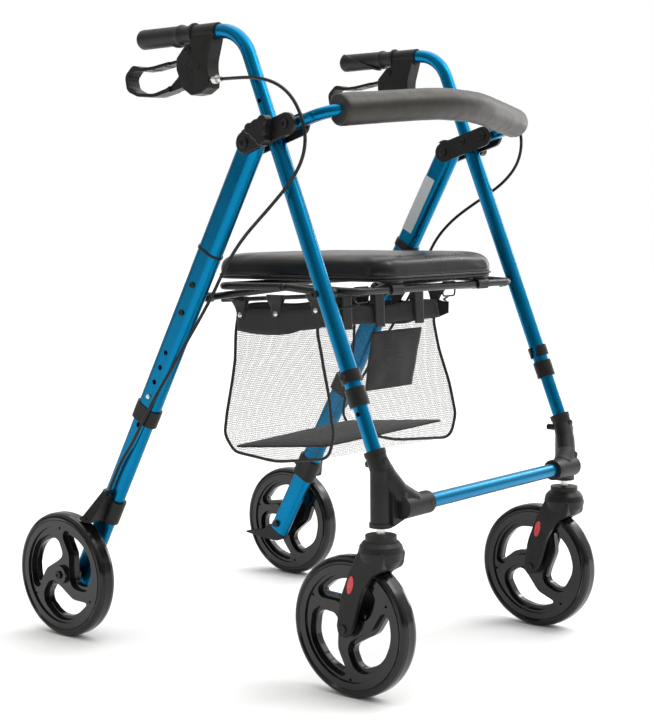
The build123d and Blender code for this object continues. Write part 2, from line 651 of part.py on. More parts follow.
def rear_axle():
    """The axle bolt, the shoe's pin and the cable's adjuster: the bright metal of the lower leg."""
    bolt = pin(REAR_WHEEL_Y, WHEEL_R, 229.5, 295.5, 4.0)
    bolt += hex_head(REAR_WHEEL_Y, WHEEL_R, 232 - TOUCH, 227.0, 6.8)
    bolt += pin(REAR_WHEEL_Y, WHEEL_R, 252 + TOUCH, 258.5, 7.0)
    bolt += socket_head(REAR_WHEEL_Y, WHEEL_R, 293.9, 297.0, 6.5)
    pivot = pin(*SHOE_PIVOT, 259.8, 280.5, 2.0)
    barrel = rod((257.5, 211.9, 217.6), (257.5, 201.1, 236.7), 2.95)
    barrel += rod((257.5, 204.0, 231.6), (257.5, 202.1, 235.0), 4.4)
    barrel -= rod((257.5, 214.0, 213.8), (257.5, 199.0, 240.4), 1.2)
    return bolt, pivot, barrel


pair("brake_bracket", brake_bracket())
pair("brake_shoe", shoe())
pair("rear_axle", *rear_axle())


def kerb_tip():
    """The plug in the leg's end, with the wedge that a foot tips the walker on."""
    hollow = (REAR_INNER[0] - 2 * REAR_WALL - 0.2, REAR_INNER[1] - 2 * REAR_WALL - 0.2)
    plug = oval(hollow, 772, 791)
    plug -= pin(REAR_WHEEL_Y, WHEEL_R, 225, 260, 8.0)
    wedge = outline([(268, 74), (283, 66.5), (318, 68), (361, 73.5), (361.5, 76.5), (318, 84),
                     (303, 96.5)], [4, 6, 14, 1.4, 1.4, 12, 3])
    wedge = slab(wedge, 234.5, 249.5)
    end = Plane(origin=rear(790 + TOUCH), x_dir=Vector(1, 0, 0), z_dir=REAR_DOWN)
    wedge &= extrude(end * Rectangle(90, 300), amount=200)
    return plug + wedge


pair("kerb_tip", kerb_tip())

# ---------------------------------------------------------------- seat, its frame and the brace

def brace():
    corners = [(BRACE_X, BRACE_Y, BRACE_Z), (BRACE_X, CROSS_Y, CROSS_Z), (BRACE_X, -5, 567),
               (-BRACE_X, -5, 567), (-BRACE_X, CROSS_Y, CROSS_Z), (-BRACE_X, BRACE_Y, BRACE_Z)]
    bar = pipe(corners, [200, 26, 26, 200], BAR_R)
    holes = []
    extra = []
    for way in (1, -1):
        eye = pin(BRACE_Y, BRACE_Z, way * (BRACE_X - 5.6), way * (BRACE_X + 5.6), 7.5)
        extra.append(eye)
        bolt = pin(CROSS_Y, CROSS_Z, way * 212.3, way * 225.6, 3.0)
        bolt += socket_head(CROSS_Y, CROSS_Z, way * 224.0, way * 226.8, 5.4)
        extra.append(bolt)
        holes.append(pin(BRACE_Y, BRACE_Z, way * 209, way * 228, 3.0 + RUN))
    for piece in extra:
        bar += piece
    for hole in holes:
        bar -= hole
    return bar


save("brace_bars", brace())

FRONT_BAR_Y, FRONT_BAR_Z = -256.0, 563.0
CROSS_WIRE_Y, CROSS_WIRE_Z = -150.0, 552.7      # the wire that the bag's front straps hang from


def seat_frame():
    x = FRAME_X
    corners = [(x, SEAT_Y, SEAT_Z), (x, CROSS_Y, CROSS_Z), (x, FRONT_BAR_Y, FRONT_BAR_Z),
               (-x, FRONT_BAR_Y, FRONT_BAR_Z), (-x, CROSS_Y, CROSS_Z), (-x, SEAT_Y, SEAT_Z)]
    bar = pipe(corners, [200, 26, 26, 200], BAR_R)
    for way in (1, -1):
        bar += pin(SEAT_Y, SEAT_Z, way * (x - 5.4), way * (x + 5.4), 7.5)
        bar -= pin(SEAT_Y, SEAT_Z, way * (x - 9), way * (x + 9), 3.0 + RUN)
        rail = [(way * 152.5, 46, 541.5), (way * 152.5, -235, 557.5)]
        bar += rod(rail[0], rail[1], 3.4)
        for y, z, z_frame in ((0.0, 544.0, 551.6), (-225.0, 557.0, 564.5)):
            bar += rod((way * 152.5, y, z), (way * x, y, z_frame), 3.4)
    bar += rod((-152.5, CROSS_WIRE_Y, CROSS_WIRE_Z), (152.5, CROSS_WIRE_Y, CROSS_WIRE_Z), 3.0)
    return bar


save("seat_frame", seat_frame())

SEAT_HALF = 148.0
SEAT_FRONT, SEAT_BACK = -266.0, 74.0
SEAT_BOTTOM, SEAT_TOP = 574.3, 612.5


def seat_pad():
    mid_y = 0.5 * (SEAT_FRONT + SEAT_BACK)
    depth = SEAT_BACK - SEAT_FRONT
    board = Plane.XY.offset(SEAT_BOTTOM) * Pos(0, mid_y) * RectangleRounded(
        2 * SEAT_HALF - 3, depth - 3, 30)
    pad = extrude(board, amount=5)
    cushion = Plane.XY.offset(SEAT_BOTTOM + 5) * Pos(0, mid_y) * RectangleRounded(
        2 * SEAT_HALF, depth, 31)
    cushion = extrude(cushion, amount=SEAT_TOP - SEAT_BOTTOM - 5)
    cushion = fillet(cushion.edges().group_by(Axis.Z)[-1], 11)
    cushion = fillet(cushion.edges().group_by(Axis.Z)[0], 3)
    pad += cushion
    for x in (-110, 110):
        hook = rod((x - 14, FRONT_BAR_Y, FRONT_BAR_Z), (x + 14, FRONT_BAR_Y, FRONT_BAR_Z), 9.0)
        hook += Pos(x, FRONT_BAR_Y + 4, 571.0) * Box(28, 20, 8)
        pad += hook - rod((x - 20, FRONT_BAR_Y, FRONT_BAR_Z), (x + 20, FRONT_BAR_Y, FRONT_BAR_Z),
                          BAR_R + RUN)
    return pad


save("seat_pad", seat_pad())


BAG_X = 147.0
BAG_WALL = 1.8
BAG_SIDE = [(-143, 530), (-143, 498), (-150, 455), (-166, 400), (-178, 350), (-169, 312), (-60, 297),
            (30, 305), (51, 330), (45, 366), (33, 415), (26, 450), (24, 495), (16, 528)]
BAG_ROUND = [1, 40, 120, 160, 26, 24, 160, 24, 22, 60, 120, 60, 120, 1]
TAB_YS = (11.0, -62.0, -138.0)


def basket():
    """An open-topped bag with thin walls, hung by side tabs from the seat frame's inner rails."""
    side = outline(BAG_SIDE, BAG_ROUND)
    bag = slab(side, -BAG_X, BAG_X)
    hollow = offset(side, -BAG_WALL)
    bag -= slab(hollow, -BAG_X + BAG_WALL, BAG_X - BAG_WALL)
    mouth = Pos(0, -64, 531) * Box(2 * (BAG_X - BAG_WALL), 152, 12)
    bag -= mouth
    for way in (1, -1):
        for y in TAB_YS:
            top = 543.5 - 0.057 * (y - 10)
            tab = make_face(Polyline((y - 19, top), (y + 19, top), (y + 7, 514), (y - 7, 514),
                                     close=True))
            tab = slab(tab, way * BAG_X, way * (BAG_X + 1.6))
            tab += pin(y, 522, way * (BAG_X + 1.6), way * (BAG_X + 2.8), 4.0)
            bag += tab
    return bag - rod((-160, CROSS_WIRE_Y, CROSS_WIRE_Z), (160, CROSS_WIRE_Y, CROSS_WIRE_Z), 3.0 + TOUCH)


save("basket", basket())

# ---------------------------------------------------------------- brake cables

CABLE_R = 2.5


def cable(points):
    """A cable along its real route, each bend as open as its shorter neighbouring run allows."""
    spots = [Vector(p) for p in points]
    radii = []
    for a, b, c in zip(spots, spots[1:], spots[2:]):
        run = min((b - a).length, (c - b).length)
        turn = math.radians((b - a).get_angle(c - b))
        radii.append(0.45 * run / math.tan(turn / 2))
    print("bend radii", [round(r) for r in radii])
    path = FilletPolyline(*points, radius=radii)
    body = sweep(Plane(origin=path @ 0, z_dir=path % 0) * Circle(CABLE_R), path=path)
    ratio = body.volume / (math.pi * CABLE_R ** 2 * path.length)
    print("length", round(path.length), "volume over section times length", round(ratio, 3))
    return body


ROUTE_END = [(257, 64, 430), (260, 84, 402), (260.5, 102, 377), (260.5, 121, 350),
             (259, 143, 320), (257.5, 168, 293), (257.5, 186.9, 262), (257.5, 200.6, 237.6)]
ROUTE_RIGHT = [(-248, -50.6, 867.6), (-255.5, -92, 866.5), (-259.5, -129, 864), (-263, -166, 855),
               (-266, -196, 837), (-268, -216, 811), (-268, -226, 779), (-268, -220, 747),
               (-267, -198, 718), (-266, -168, 692), (-264, -136, 667), (-261, -103, 642),
               (-258, -75, 615), (-257, -53, 586), (-257, -34, 556), (-257, -10, 524),
               (-257, 16, 491), (-257, 41, 460)]
ROUTE_LEFT = [(248, -50.6, 867.6), (255.5, -92, 866.5), (259.5, -131, 864), (263, -169, 856),
              (266, -203, 840), (268, -226, 815), (268, -232, 783), (268, -223, 751),
              (267, -200, 725), (266, -168, 704), (264, -132, 684), (261, -97, 661),
              (258, -68, 632), (257, -48, 598), (257, -30, 562), (257, -8, 527),
              (257, 17, 492), (257, 41, 460)]
save("cable_left", cable(ROUTE_LEFT + ROUTE_END))
save("cable_right", cable(ROUTE_RIGHT + [(-x, y, z) for x, y, z in ROUTE_END]))
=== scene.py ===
"""Looks of the rollator walker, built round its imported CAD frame. Metres, +Z up, the walker faces -Y."""

import math

import bmesh
import bpy
from mathutils import Matrix, Vector, noise


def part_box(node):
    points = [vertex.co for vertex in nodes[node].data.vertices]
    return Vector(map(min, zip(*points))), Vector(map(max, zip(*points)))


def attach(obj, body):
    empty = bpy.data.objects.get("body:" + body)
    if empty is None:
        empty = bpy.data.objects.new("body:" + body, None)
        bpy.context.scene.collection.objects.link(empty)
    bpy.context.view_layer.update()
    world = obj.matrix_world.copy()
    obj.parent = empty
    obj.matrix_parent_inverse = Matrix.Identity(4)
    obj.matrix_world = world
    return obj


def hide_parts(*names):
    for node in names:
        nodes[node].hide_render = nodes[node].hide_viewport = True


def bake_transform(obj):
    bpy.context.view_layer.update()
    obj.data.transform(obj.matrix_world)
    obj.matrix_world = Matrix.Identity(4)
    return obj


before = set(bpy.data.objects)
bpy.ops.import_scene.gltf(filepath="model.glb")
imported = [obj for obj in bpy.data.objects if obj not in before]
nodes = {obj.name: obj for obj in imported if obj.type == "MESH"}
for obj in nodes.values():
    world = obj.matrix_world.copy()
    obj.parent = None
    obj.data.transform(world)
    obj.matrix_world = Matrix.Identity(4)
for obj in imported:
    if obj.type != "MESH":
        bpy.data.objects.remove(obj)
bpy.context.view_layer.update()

# ------------------------------------------------------------------ driving sizes, from the frame

pad_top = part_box("seat_pad")[1].z
foam_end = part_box("backrest_pad")[1].x

SEAT_HALF = 0.148            # half the seat pad's width
SEAT_FRONT, SEAT_BACK = -0.266, 0.074
SEAT_TOP = pad_top + 0.0025  # the soft crown stands a little over the CAD pad
SEAT_BOTTOM = 0.5743
BAR = (-0.256, 0.563)        # front bar of the seat frame: y, z
RAIL_X, RAIL_R = 0.1525, 0.0034
RAIL_BACK, RAIL_FRONT = 0.046, -0.235    # where the inner rails start and end: y
RAIL_LOW, RAIL_RISE = 0.5415, 0.016
BAG_X = 0.147                # the bag's half width, to the middle of its piping
PANEL_X = BAG_X - 0.0006     # its mesh panels lie just inside the piping
SIDE_X = 0.242
LEG_THICK = 0.0235           # the rear leg's oval tube, across the walker
HOOK_X = 0.110
CROSS_Y = -0.150             # the wire that the bag's straps hang from


def rail_z(y):
    """Height of the seat frame's inner rails."""
    return RAIL_LOW + (RAIL_BACK - y) * RAIL_RISE / (RAIL_BACK - RAIL_FRONT)


# ------------------------------------------------------------------ camera and studio

SENSOR, LENS = 36.0, 75.95                 # mm
CAMERA_TURN = (-0.8774, 0.0928, -0.0087)   # turn, downward tilt and roll: radians
CAMERA_PLACE = (-1.8698, -1.5908, 0.6639)
FLOOR_HALF = 14.0
LAMPS = (                                  # name, place, aim, size, watts
    ("key", (0.9, -1.9, 3.0), (0, 0, 0.5), (0.9, 1.6), 22),
    ("strip", (2.7, -0.5, 1.3), (0, 0, 0.6), (0.4, 2.0), 18),
    ("rim", (-2.6, 0.9, 1.5), (0, 0, 0.5), (0.15, 1.8), 3))


def studio():
    """The photograph's viewpoint, a plain pale floor and soft lights."""
    scene = bpy.context.scene
    scene.view_settings.view_transform = "Standard"
    data = bpy.data.cameras.new("camera")
    data.sensor_width, data.lens = SENSOR, LENS
    camera = bpy.data.objects.new("camera", data)
    scene.collection.objects.link(camera)
    turn, down, roll = CAMERA_TURN
    back = Vector((math.sin(turn) * math.cos(down), -math.cos(turn) * math.cos(down), math.sin(down)))
    right = Vector((math.cos(turn), math.sin(turn), 0.0))
    up = back.cross(right)
    right, up = (right * math.cos(roll) + up * math.sin(roll), up * math.cos(roll) - right * math.sin(roll))
    place = Matrix((right, up, back)).transposed().to_4x4()
    place.translation = CAMERA_PLACE
    camera.matrix_world = place
    scene.camera = camera

    world = bpy.data.worlds.new("studio")
    scene.world = world
    world.use_nodes = True
    tree = world.node_tree
    room = tree.nodes["Background"]
    room.inputs["Color"].default_value = (1.0, 0.99, 0.97, 1)
    towards = tree.nodes.new("ShaderNodeVectorMath")
    towards.operation = "DOT_PRODUCT"
    towards.inputs[1].default_value = Vector((0.42, 0.10, 0.9)).normalized()
    level = tree.nodes.new("ShaderNodeMapRange")
    level.interpolation_type = "SMOOTHSTEP"
    for socket, value in (("From Min", -0.5), ("From Max", 0.95), ("To Min", 0.04), ("To Max", 1.0)):
        level.inputs[socket].default_value = value
    tree.links.new(tree.nodes.new("ShaderNodeTexCoord").outputs["Generated"], towards.inputs[0])
    tree.links.new(towards.outputs["Value"], level.inputs["Value"])
    tree.links.new(level.outputs["Result"], room.inputs["Strength"])
    backdrop = tree.nodes.new("ShaderNodeBackground")
    backdrop.inputs["Color"].default_value = (1, 1, 1, 1)
    seen = tree.nodes.new("ShaderNodeLightPath")
    mix = tree.nodes.new("ShaderNodeMixShader")
    tree.links.new(seen.outputs["Is Camera Ray"], mix.inputs[0])
    tree.links.new(room.outputs[0], mix.inputs[1])
    tree.links.new(backdrop.outputs[0], mix.inputs[2])
    tree.links.new(mix.outputs[0], tree.nodes["World Output"].inputs["Surface"])

    mesh = bpy.data.meshes.new("floor")
    corners = [(x * FLOOR_HALF, y * FLOOR_HALF, 0) for x, y in ((-1, -1), (1, -1), (1, 1), (-1, 1))]
    mesh.from_pydata(corners, [], [(0, 1, 2, 3)])
    floor = bpy.data.objects.new("floor", mesh)
    scene.collection.objects.link(floor)
    look = Look("floor_paint", (0.95, 0.95, 0.95), 0.85)
    look.set(Specular_IOR_Level=0.1)
    floor.data.materials.append(look.material)

    lamp = bpy.data.lights.new("sky_panel", "SUN")
    lamp.energy, lamp.angle = 2.0, math.radians(80)
    sun = bpy.data.objects.new("sky_panel", lamp)
    scene.collection.objects.link(sun)
    sun.rotation_euler = Vector((-0.4, 0.12, -1.0)).to_track_quat("-Z", "Y").to_euler()

    for name, spot, aim, size, watts in LAMPS:
        lamp = bpy.data.lights.new(name, "AREA")
        lamp.shape = "RECTANGLE"
        lamp.size, lamp.size_y = size
        lamp.energy = watts
        obj = bpy.data.objects.new(name, lamp)
        scene.collection.objects.link(obj)
        obj.location = spot
        obj.rotation_euler = (Vector(aim) - Vector(spot)).to_track_quat("-Z", "Y").to_euler()


# ------------------------------------------------------------------ materials

class Look:
    """A Principled material whose detail is added node by node. Patterns are in the part's own metres."""

    def __init__(self, name, colour, roughness, metallic=0.0):
        self.material = bpy.data.materials.new(name)
        self.material.use_nodes = True
        self.tree = self.material.node_tree
        self.shader = self.tree.nodes["Principled BSDF"]
        self.colour = colour
        self.shader.inputs["Base Color"].default_value = (*colour, 1)
        self.shader.inputs["Roughness"].default_value = roughness
        self.shader.inputs["Metallic"].default_value = metallic
        self.place = self.add("ShaderNodeTexCoord").outputs["Object"]
        self.last_bump = None

    def add(self, kind, **values):
        node = self.tree.nodes.new(kind)
        for key, value in values.items():
            if key in node.inputs:
                node.inputs[key].default_value = value
            else:
                setattr(node, key, value)
        return node

    def link(self, a, b):
        self.tree.links.new(a, b)

    def noise(self, scale, detail=3.0, stretch=(1, 1, 1), coords=None):
        move = self.add("ShaderNodeMapping", Scale=stretch)
        self.link(coords or self.place, move.inputs["Vector"])
        cloud = self.add("ShaderNodeTexNoise", Scale=scale, Detail=detail)
        self.link(move.outputs["Vector"], cloud.inputs["Vector"])
        return cloud.outputs["Fac"]

    def cells(self, scale, feature="F1", coords=None):
        cell = self.add("ShaderNodeTexVoronoi", Scale=scale, feature=feature)
        self.link(coords or self.place, cell.inputs["Vector"])
        return cell.outputs["Distance"]

    def ramp(self, value, low, high, a=(0, 0, 0, 1), b=(1, 1, 1, 1)):
        ramp = self.add("ShaderNodeValToRGB")
        self.link(value, ramp.inputs["Fac"])
        ramp.color_ramp.elements[0].position = low
        ramp.color_ramp.elements[1].position = high
        ramp.color_ramp.elements[0].color = a
        ramp.color_ramp.elements[1].color = b
        return ramp.outputs["Color"]

    def vary_colour(self, scale, dark, light, detail=4.0, stretch=(1, 1, 1)):
        a = tuple(c * dark for c in self.colour) + (1,)
        b = tuple(c * light for c in self.colour) + (1,)
        cloud = self.noise(scale, detail, stretch)
        colour = self.ramp(cloud, 0.35, 0.65, a, b)
        self.link(colour, self.shader.inputs["Base Color"])
        return colour

    def wear(self, base, tint, amount=1.0, radius=0.0006):
        """Lighter, rubbed edges: where the normal of a slightly rounded surface leaves the true one."""
        soft = self.add("ShaderNodeBevel", samples=4)
        soft.inputs["Radius"].default_value = radius
        true = self.add("ShaderNodeNewGeometry")
        dot = self.add("ShaderNodeVectorMath", operation="DOT_PRODUCT")
        self.link(soft.outputs["Normal"], dot.inputs[0])
        self.link(true.outputs["Normal"], dot.inputs[1])
        edge = self.ramp(dot.outputs["Value"], 0.80, 0.985, (amount,) * 3 + (1,), (0, 0, 0, 1))
        mix = self.add("ShaderNodeMix", data_type="RGBA")
        self.link(edge, mix.inputs["Factor"])
        self.link(base, mix.inputs["A"])
        mix.inputs["B"].default_value = (*tint, 1)
        self.link(mix.outputs["Result"], self.shader.inputs["Base Color"])

    def vary_roughness(self, scale, low, high, stretch=(1, 1, 1)):
        cloud = self.noise(scale, 4.0, stretch)
        level = self.ramp(cloud, 0.3, 0.7, (low,) * 3 + (1,), (high,) * 3 + (1,))
        self.link(level, self.shader.inputs["Roughness"])

    def bump(self, height, strength, depth):
        bump = self.add("ShaderNodeBump", Strength=strength, Distance=depth)
        self.link(height, bump.inputs["Height"])
        if self.last_bump is not None:
            self.link(self.last_bump, bump.inputs["Normal"])
        self.last_bump = bump.outputs["Normal"]
        self.link(self.last_bump, self.shader.inputs["Normal"])

    def set(self, **values):
        for key, value in values.items():
            self.shader.inputs[key.replace("_", " ")].default_value = value
        return self


def anodised():
    """Satin blue anodised aluminium with the faint lengthwise drawing lines of tube."""
    look = Look("anodised_blue", (0.0, 0.165, 0.34), 0.28, metallic=0.92)
    look.vary_colour(9.0, 0.94, 1.05)
    look.vary_roughness(40.0, 0.26, 0.31)
    look.bump(look.noise(2600.0, 1.0), 0.008, 0.00005)
    return look.material


def moulded(name, shade, rough, grain=1500.0, depth=0.12, edge=0.05):
    """Moulded nylon: fine spark texture, uneven gloss and slightly rubbed edges."""
    look = Look(name, (shade, shade, shade * 0.98), rough)
    base = look.vary_colour(28.0, 0.8, 1.25)
    look.wear(base, (edge, edge, edge), 0.8)
    look.vary_roughness(70.0, rough - 0.06, rough + 0.07)
    look.bump(look.noise(grain, 2.0), depth, 0.0003)
    return look.set(Specular_IOR_Level=0.25).material


def gloss_black():
    """The wheels' polished black plastic."""
    look = Look("wheel_plastic", (0.006, 0.006, 0.0062), 0.2)
    base = look.vary_colour(18.0, 0.8, 1.25)
    look.wear(base, (0.03, 0.03, 0.031), 0.7)
    look.vary_roughness(45.0, 0.10, 0.17)
    look.bump(look.noise(400.0, 2.0), 0.02, 0.0002)
    return look.set(Specular_IOR_Level=0.35, Coat_Weight=0.2, Coat_Roughness=0.05).material


def tyre_rubber():
    """Dark grey tyre with a dull, slightly dusty tread and smoother walls."""
    look = Look("tyre_rubber", (0.006, 0.006, 0.0061), 0.2)
    base = look.vary_colour(36.0, 0.8, 1.3)
    look.wear(base, (0.03, 0.03, 0.03), 0.7, 0.001)
    look.vary_roughness(60.0, 0.13, 0.21)
    look.bump(look.noise(500.0, 2.0), 0.03, 0.0003)
    return look.set(Specular_IOR_Level=0.35).material


def coated_steel():
    """Satin black powder coat with its orange-peel skin."""
    look = Look("black_coat", (0.008, 0.008, 0.008), 0.3)
    base = look.vary_colour(30.0, 0.8, 1.25)
    look.wear(base, (0.05, 0.05, 0.049), 0.7)
    look.vary_roughness(90.0, 0.24, 0.38)
    look.bump(look.cells(900.0), 0.05, 0.0003)
    return look.set(Specular_IOR_Level=0.3).material


def bright_steel():
    """Zinc-plated or stainless steel with turning marks."""
    look = Look("bright_steel", (0.66, 0.65, 0.63), 0.25, metallic=1.0)
    look.vary_colour(60.0, 0.8, 1.1)
    look.vary_roughness(500.0, 0.16, 0.38, stretch=(6, 1, 1))
    look.bump(look.noise(2600.0, 1.0, stretch=(5, 1, 1)), 0.06, 0.0001)
    return look.material


def foam_skin():
    """Closed-cell foam: fine pores, soft mottling and a dry sheen."""
    look = Look("foam_skin", (0.0125, 0.0112, 0.0100), 0.45)
    look.vary_colour(22.0, 0.88, 1.14, detail=5.0)
    look.vary_roughness(90.0, 0.40, 0.50)
    look.bump(look.cells(1500.0), 0.08, 0.0004)
    look.bump(look.noise(420.0, 4.0), 0.04, 0.0005)
    return look.set(Specular_IOR_Level=0.55, Specular_Tint=(1.0, 0.95, 0.89, 1)).material


def grip_rubber():
    """Hand grips of soft rubber with a pebbled texture."""
    look = Look("grip_rubber", (0.012, 0.012, 0.0118), 0.5)
    base = look.vary_colour(40.0, 0.8, 1.25)
    look.wear(base, (0.03, 0.03, 0.03), 0.7)
    look.vary_roughness(80.0, 0.36, 0.55)
    look.bump(look.cells(620.0, "SMOOTH_F1"), 0.35, 0.0006)
    look.bump(look.noise(2200.0, 2.0), 0.12, 0.0002)
    return look.set(Specular_IOR_Level=0.3).material


def vinyl():
    """Upholstery vinyl: two scales of leather grain under a semi-gloss coat."""
    look = Look("seat_vinyl", (0.0065, 0.0062, 0.006), 0.3)
    look.vary_colour(14.0, 0.85, 1.2)
    look.vary_roughness(25.0, 0.25, 0.34)
    look.bump(look.cells(620.0, "SMOOTH_F1"), 0.16, 0.0004)
    look.bump(look.noise(1300.0, 3.0), 0.08, 0.0002)
    look.bump(look.noise(16.0, 3.0), 0.16, 0.002)
    return look.set(Specular_IOR_Level=0.35).material


def woven(name, shade, pitch=0.0011):
    """Plain woven black fabric: over-and-under threads along the cloth's own directions."""
    look = Look(name, (shade, shade, shade * 0.97), 0.82)
    uv = look.add("ShaderNodeUVMap", uv_map="cloth").outputs["UV"]
    scale = 1 / pitch / 6.283
    waves = [look.add("ShaderNodeTexWave", Scale=scale, Distortion=0.6, bands_direction=way) for way in "XY"]
    both = look.add("ShaderNodeMath", operation="MULTIPLY")
    for wave, socket in zip(waves, both.inputs):
        look.link(uv, wave.inputs["Vector"])
        look.link(wave.outputs["Fac"], socket)
    look.vary_colour(60.0, 0.8, 1.3)
    look.bump(both.outputs[0], 0.5, 0.0004)
    look.bump(look.noise(90.0, 3.0), 0.25, 0.0012)
    return look.set(Sheen_Weight=0.2, Sheen_Roughness=0.5).material


def net(name, pitch=0.0039, thread=0.00046):
    """Open black knitted mesh: a brick-bonded net of threads with clear holes, wholly in the material."""
    look = Look(name, (0.012, 0.0118, 0.0115), 0.55)
    uv = look.add("ShaderNodeUVMap", uv_map="cloth").outputs["UV"]
    brick = look.add("ShaderNodeTexBrick", Scale=1.0)
    brick.inputs["Brick Width"].default_value = pitch
    brick.inputs["Row Height"].default_value = pitch * 0.75
    brick.inputs["Mortar Size"].default_value = thread / 2
    brick.inputs["Mortar Smooth"].default_value = 0.1
    look.link(uv, brick.inputs["Vector"])
    look.link(brick.outputs["Fac"], look.shader.inputs["Alpha"])
    look.vary_colour(120.0, 0.7, 1.5)
    look.bump(brick.outputs["Fac"], 0.4, 0.0004)
    return look.material


def reflector_red():
    """Moulded red reflector with its grid of small corner cells, and a faint painted glow from its emission.
    """
    look = Look("reflector_red", (0.52, 0.006, 0.012), 0.18)
    look.vary_colour(300.0, 0.85, 1.15)
    look.vary_roughness(200.0, 0.12, 0.26)
    look.bump(look.cells(650.0), 0.5, 0.0006)
    # The weak red emission is a painted glow: the reflector shines by itself, though it is no lamp.
    return look.set(Coat_Weight=0.6, Coat_Roughness=0.08, Emission_Color=(0.5, 0.0, 0.01, 1),
                    Emission_Strength=0.12).material


def paper():
    """Blank label stock: satin white with faint fibres."""
    look = Look("label_white", (0.60, 0.65, 0.69), 0.45)
    look.vary_colour(200.0, 0.96, 1.03)
    look.vary_roughness(90.0, 0.35, 0.5)
    look.bump(look.noise(1500.0, 3.0), 0.05, 0.0002)
    return look.material


studio()

BLUE = anodised()
PLASTIC = moulded("moulded_black", 0.010, 0.40, edge=0.03)
FORK = moulded("fork_nylon", 0.012, 0.44, grain=1100.0, depth=0.15, edge=0.035)
KNOB = moulded("knob_black", 0.010, 0.32, grain=1800.0, depth=0.06, edge=0.03)
WHEEL = gloss_black()
TYRE = tyre_rubber()
COAT = coated_steel()
STEEL = bright_steel()
FOAM = foam_skin()
GRIP = grip_rubber()
VINYL = vinyl()
WEBBING = woven("webbing_black", 0.010, 0.0014)
CANVAS = woven("canvas_black", 0.009, 0.0010)
NET = net("bag_net")
PIPING = woven("piping_black", 0.009, 0.0012)
RED = reflector_red()
LABEL = paper()
SLEEVE = moulded("cable_sleeve", 0.009, 0.32, grain=900.0, depth=0.05, edge=0.02)

DRESS = {
    BLUE: ["front_leg_", "backrest_tube", "handle_tube_", "front_tubes_lower", "crossbar", "rear_leg_right",
           "rear_leg_left", "rear_tube_lower_"],
    PLASTIC: ["hinge_plates_", "front_leg_collars", "brake_housing_", "brake_lever_", "rear_leg_collars",
              "brake_bracket_", "kerb_tip_"],
    FORK: ["castor_bracket_", "castor_fork_"],
    KNOB: ["height_knob_"],
    WHEEL: ["front_rim_", "rear_rim_"],
    TYRE: ["front_tyre_", "rear_tyre_"],
    COAT: ["hinge_bolts", "seat_frame", "brace_bars", "rear_seat_brackets"],
    STEEL: ["brake_hardware_", "castor_stem_", "rear_axle_", "snap_button_"],
    FOAM: ["backrest_pad"],
    GRIP: ["grip_", "brake_shoe_"],
    VINYL: ["seat_pad"],
    CANVAS: ["basket"],
    RED: ["reflector_"],
    SLEEVE: ["cable_"],
}
for material, starts in DRESS.items():
    for name, obj in nodes.items():
        if any(name.startswith(s) for s in starts):
            obj.data.materials.clear()
            obj.data.materials.append(material)


def blacken(node, low, high):
    """Makes the faces of a bright node that lie between two heights black."""
    obj = nodes[node]
    obj.data.materials.append(COAT)
    for face in obj.data.polygons:
        if low < (obj.matrix_world @ face.center).z < high:
            face.material_index = 1


for side in ("left", "right"):
    blacken(f"castor_stem_{side}", 0.0, 0.16)        # the front axle
    blacken(f"brake_hardware_{side}", 0.89, 1.0)     # the lever's pivot bolt
    blacken(f"rear_axle_{side}", 0.0, 0.21)          # the rear axle and the shoe's pin


# ------------------------------------------------------------------ mesh helpers

def make(name, verts, faces, material, smooth=True, uvs=None):
    """A mesh object in the row frame; uvs holds one (u, v) per vertex, in metres of cloth."""
    mesh = bpy.data.meshes.new(name)
    mesh.from_pydata([tuple(v) for v in verts], [], faces)
    mesh.validate()
    work = bmesh.new()
    work.from_mesh(mesh)
    bmesh.ops.recalc_face_normals(work, faces=work.faces)
    work.to_mesh(mesh)
    work.free()
    layer = mesh.uv_layers.new(name="cloth")
    for loop in mesh.loops:
        v = loop.vertex_index
        layer.data[loop.index].uv = uvs[v] if uvs else (verts[v][1], verts[v][2])
    for face in mesh.polygons:
        face.use_smooth = smooth
    mesh.materials.append(material)
    obj = bpy.data.objects.new(name, mesh)
    bpy.context.scene.collection.objects.link(obj)
    return obj


def grid(rows, wrap_u=False, wrap_v=False):
    """Vertices and quads of a grid of points; wrap_u closes each row, wrap_v closes the rows."""
    n, m = len(rows), len(rows[0])
    verts = [p for row in rows for p in row]
    faces = []
    for i in range(n if wrap_v else n - 1):
        for j in range(m if wrap_u else m - 1):
            a, b = i * m + j, i * m + (j + 1) % m
            c, d = ((i + 1) % n) * m + (j + 1) % m, ((i + 1) % n) * m + j
            faces.append((a, b, c, d))
    return verts, faces


def loft(name, rings, material, cap=True):
    """Closed rings joined one to the next, its ends closed with fans."""
    verts, faces = grid(rings, wrap_u=True)
    m = len(rings[0])
    if cap:
        for ring, first in ((rings[0], 0), (rings[-1], len(verts) - m)):
            middle = sum((Vector(p) for p in ring), Vector()) / m
            verts.append(middle)
            faces += [(first + j, first + (j + 1) % m, len(verts) - 1) for j in range(m)]
    return make(name, verts, faces, material)


def tube(name, path, radius, material, sides=14, closed=False, flat=1.0):
    """A round cord or wire along path; flat under 1 makes it a low oval."""
    path = [Vector(p) for p in path]
    n = len(path)
    rings = []
    side = None
    for i, p in enumerate(path):
        before = path[(i - 1) % n] if closed or i else p
        after = path[(i + 1) % n] if closed or i < n - 1 else p
        along = (after - before).normalized()
        if side is None:
            side = along.orthogonal().normalized()
        side = (side - along * side.dot(along)).normalized()
        other = along.cross(side)
        rings.append([p + side * (radius * math.cos(a)) + other * (radius * flat * math.sin(a))
                      for a in (2 * math.pi * k / sides for k in range(sides))])
    if closed:
        verts, faces = grid(rings, wrap_u=True, wrap_v=True)
        return make(name, verts, faces, material)
    return loft(name, rings, material)


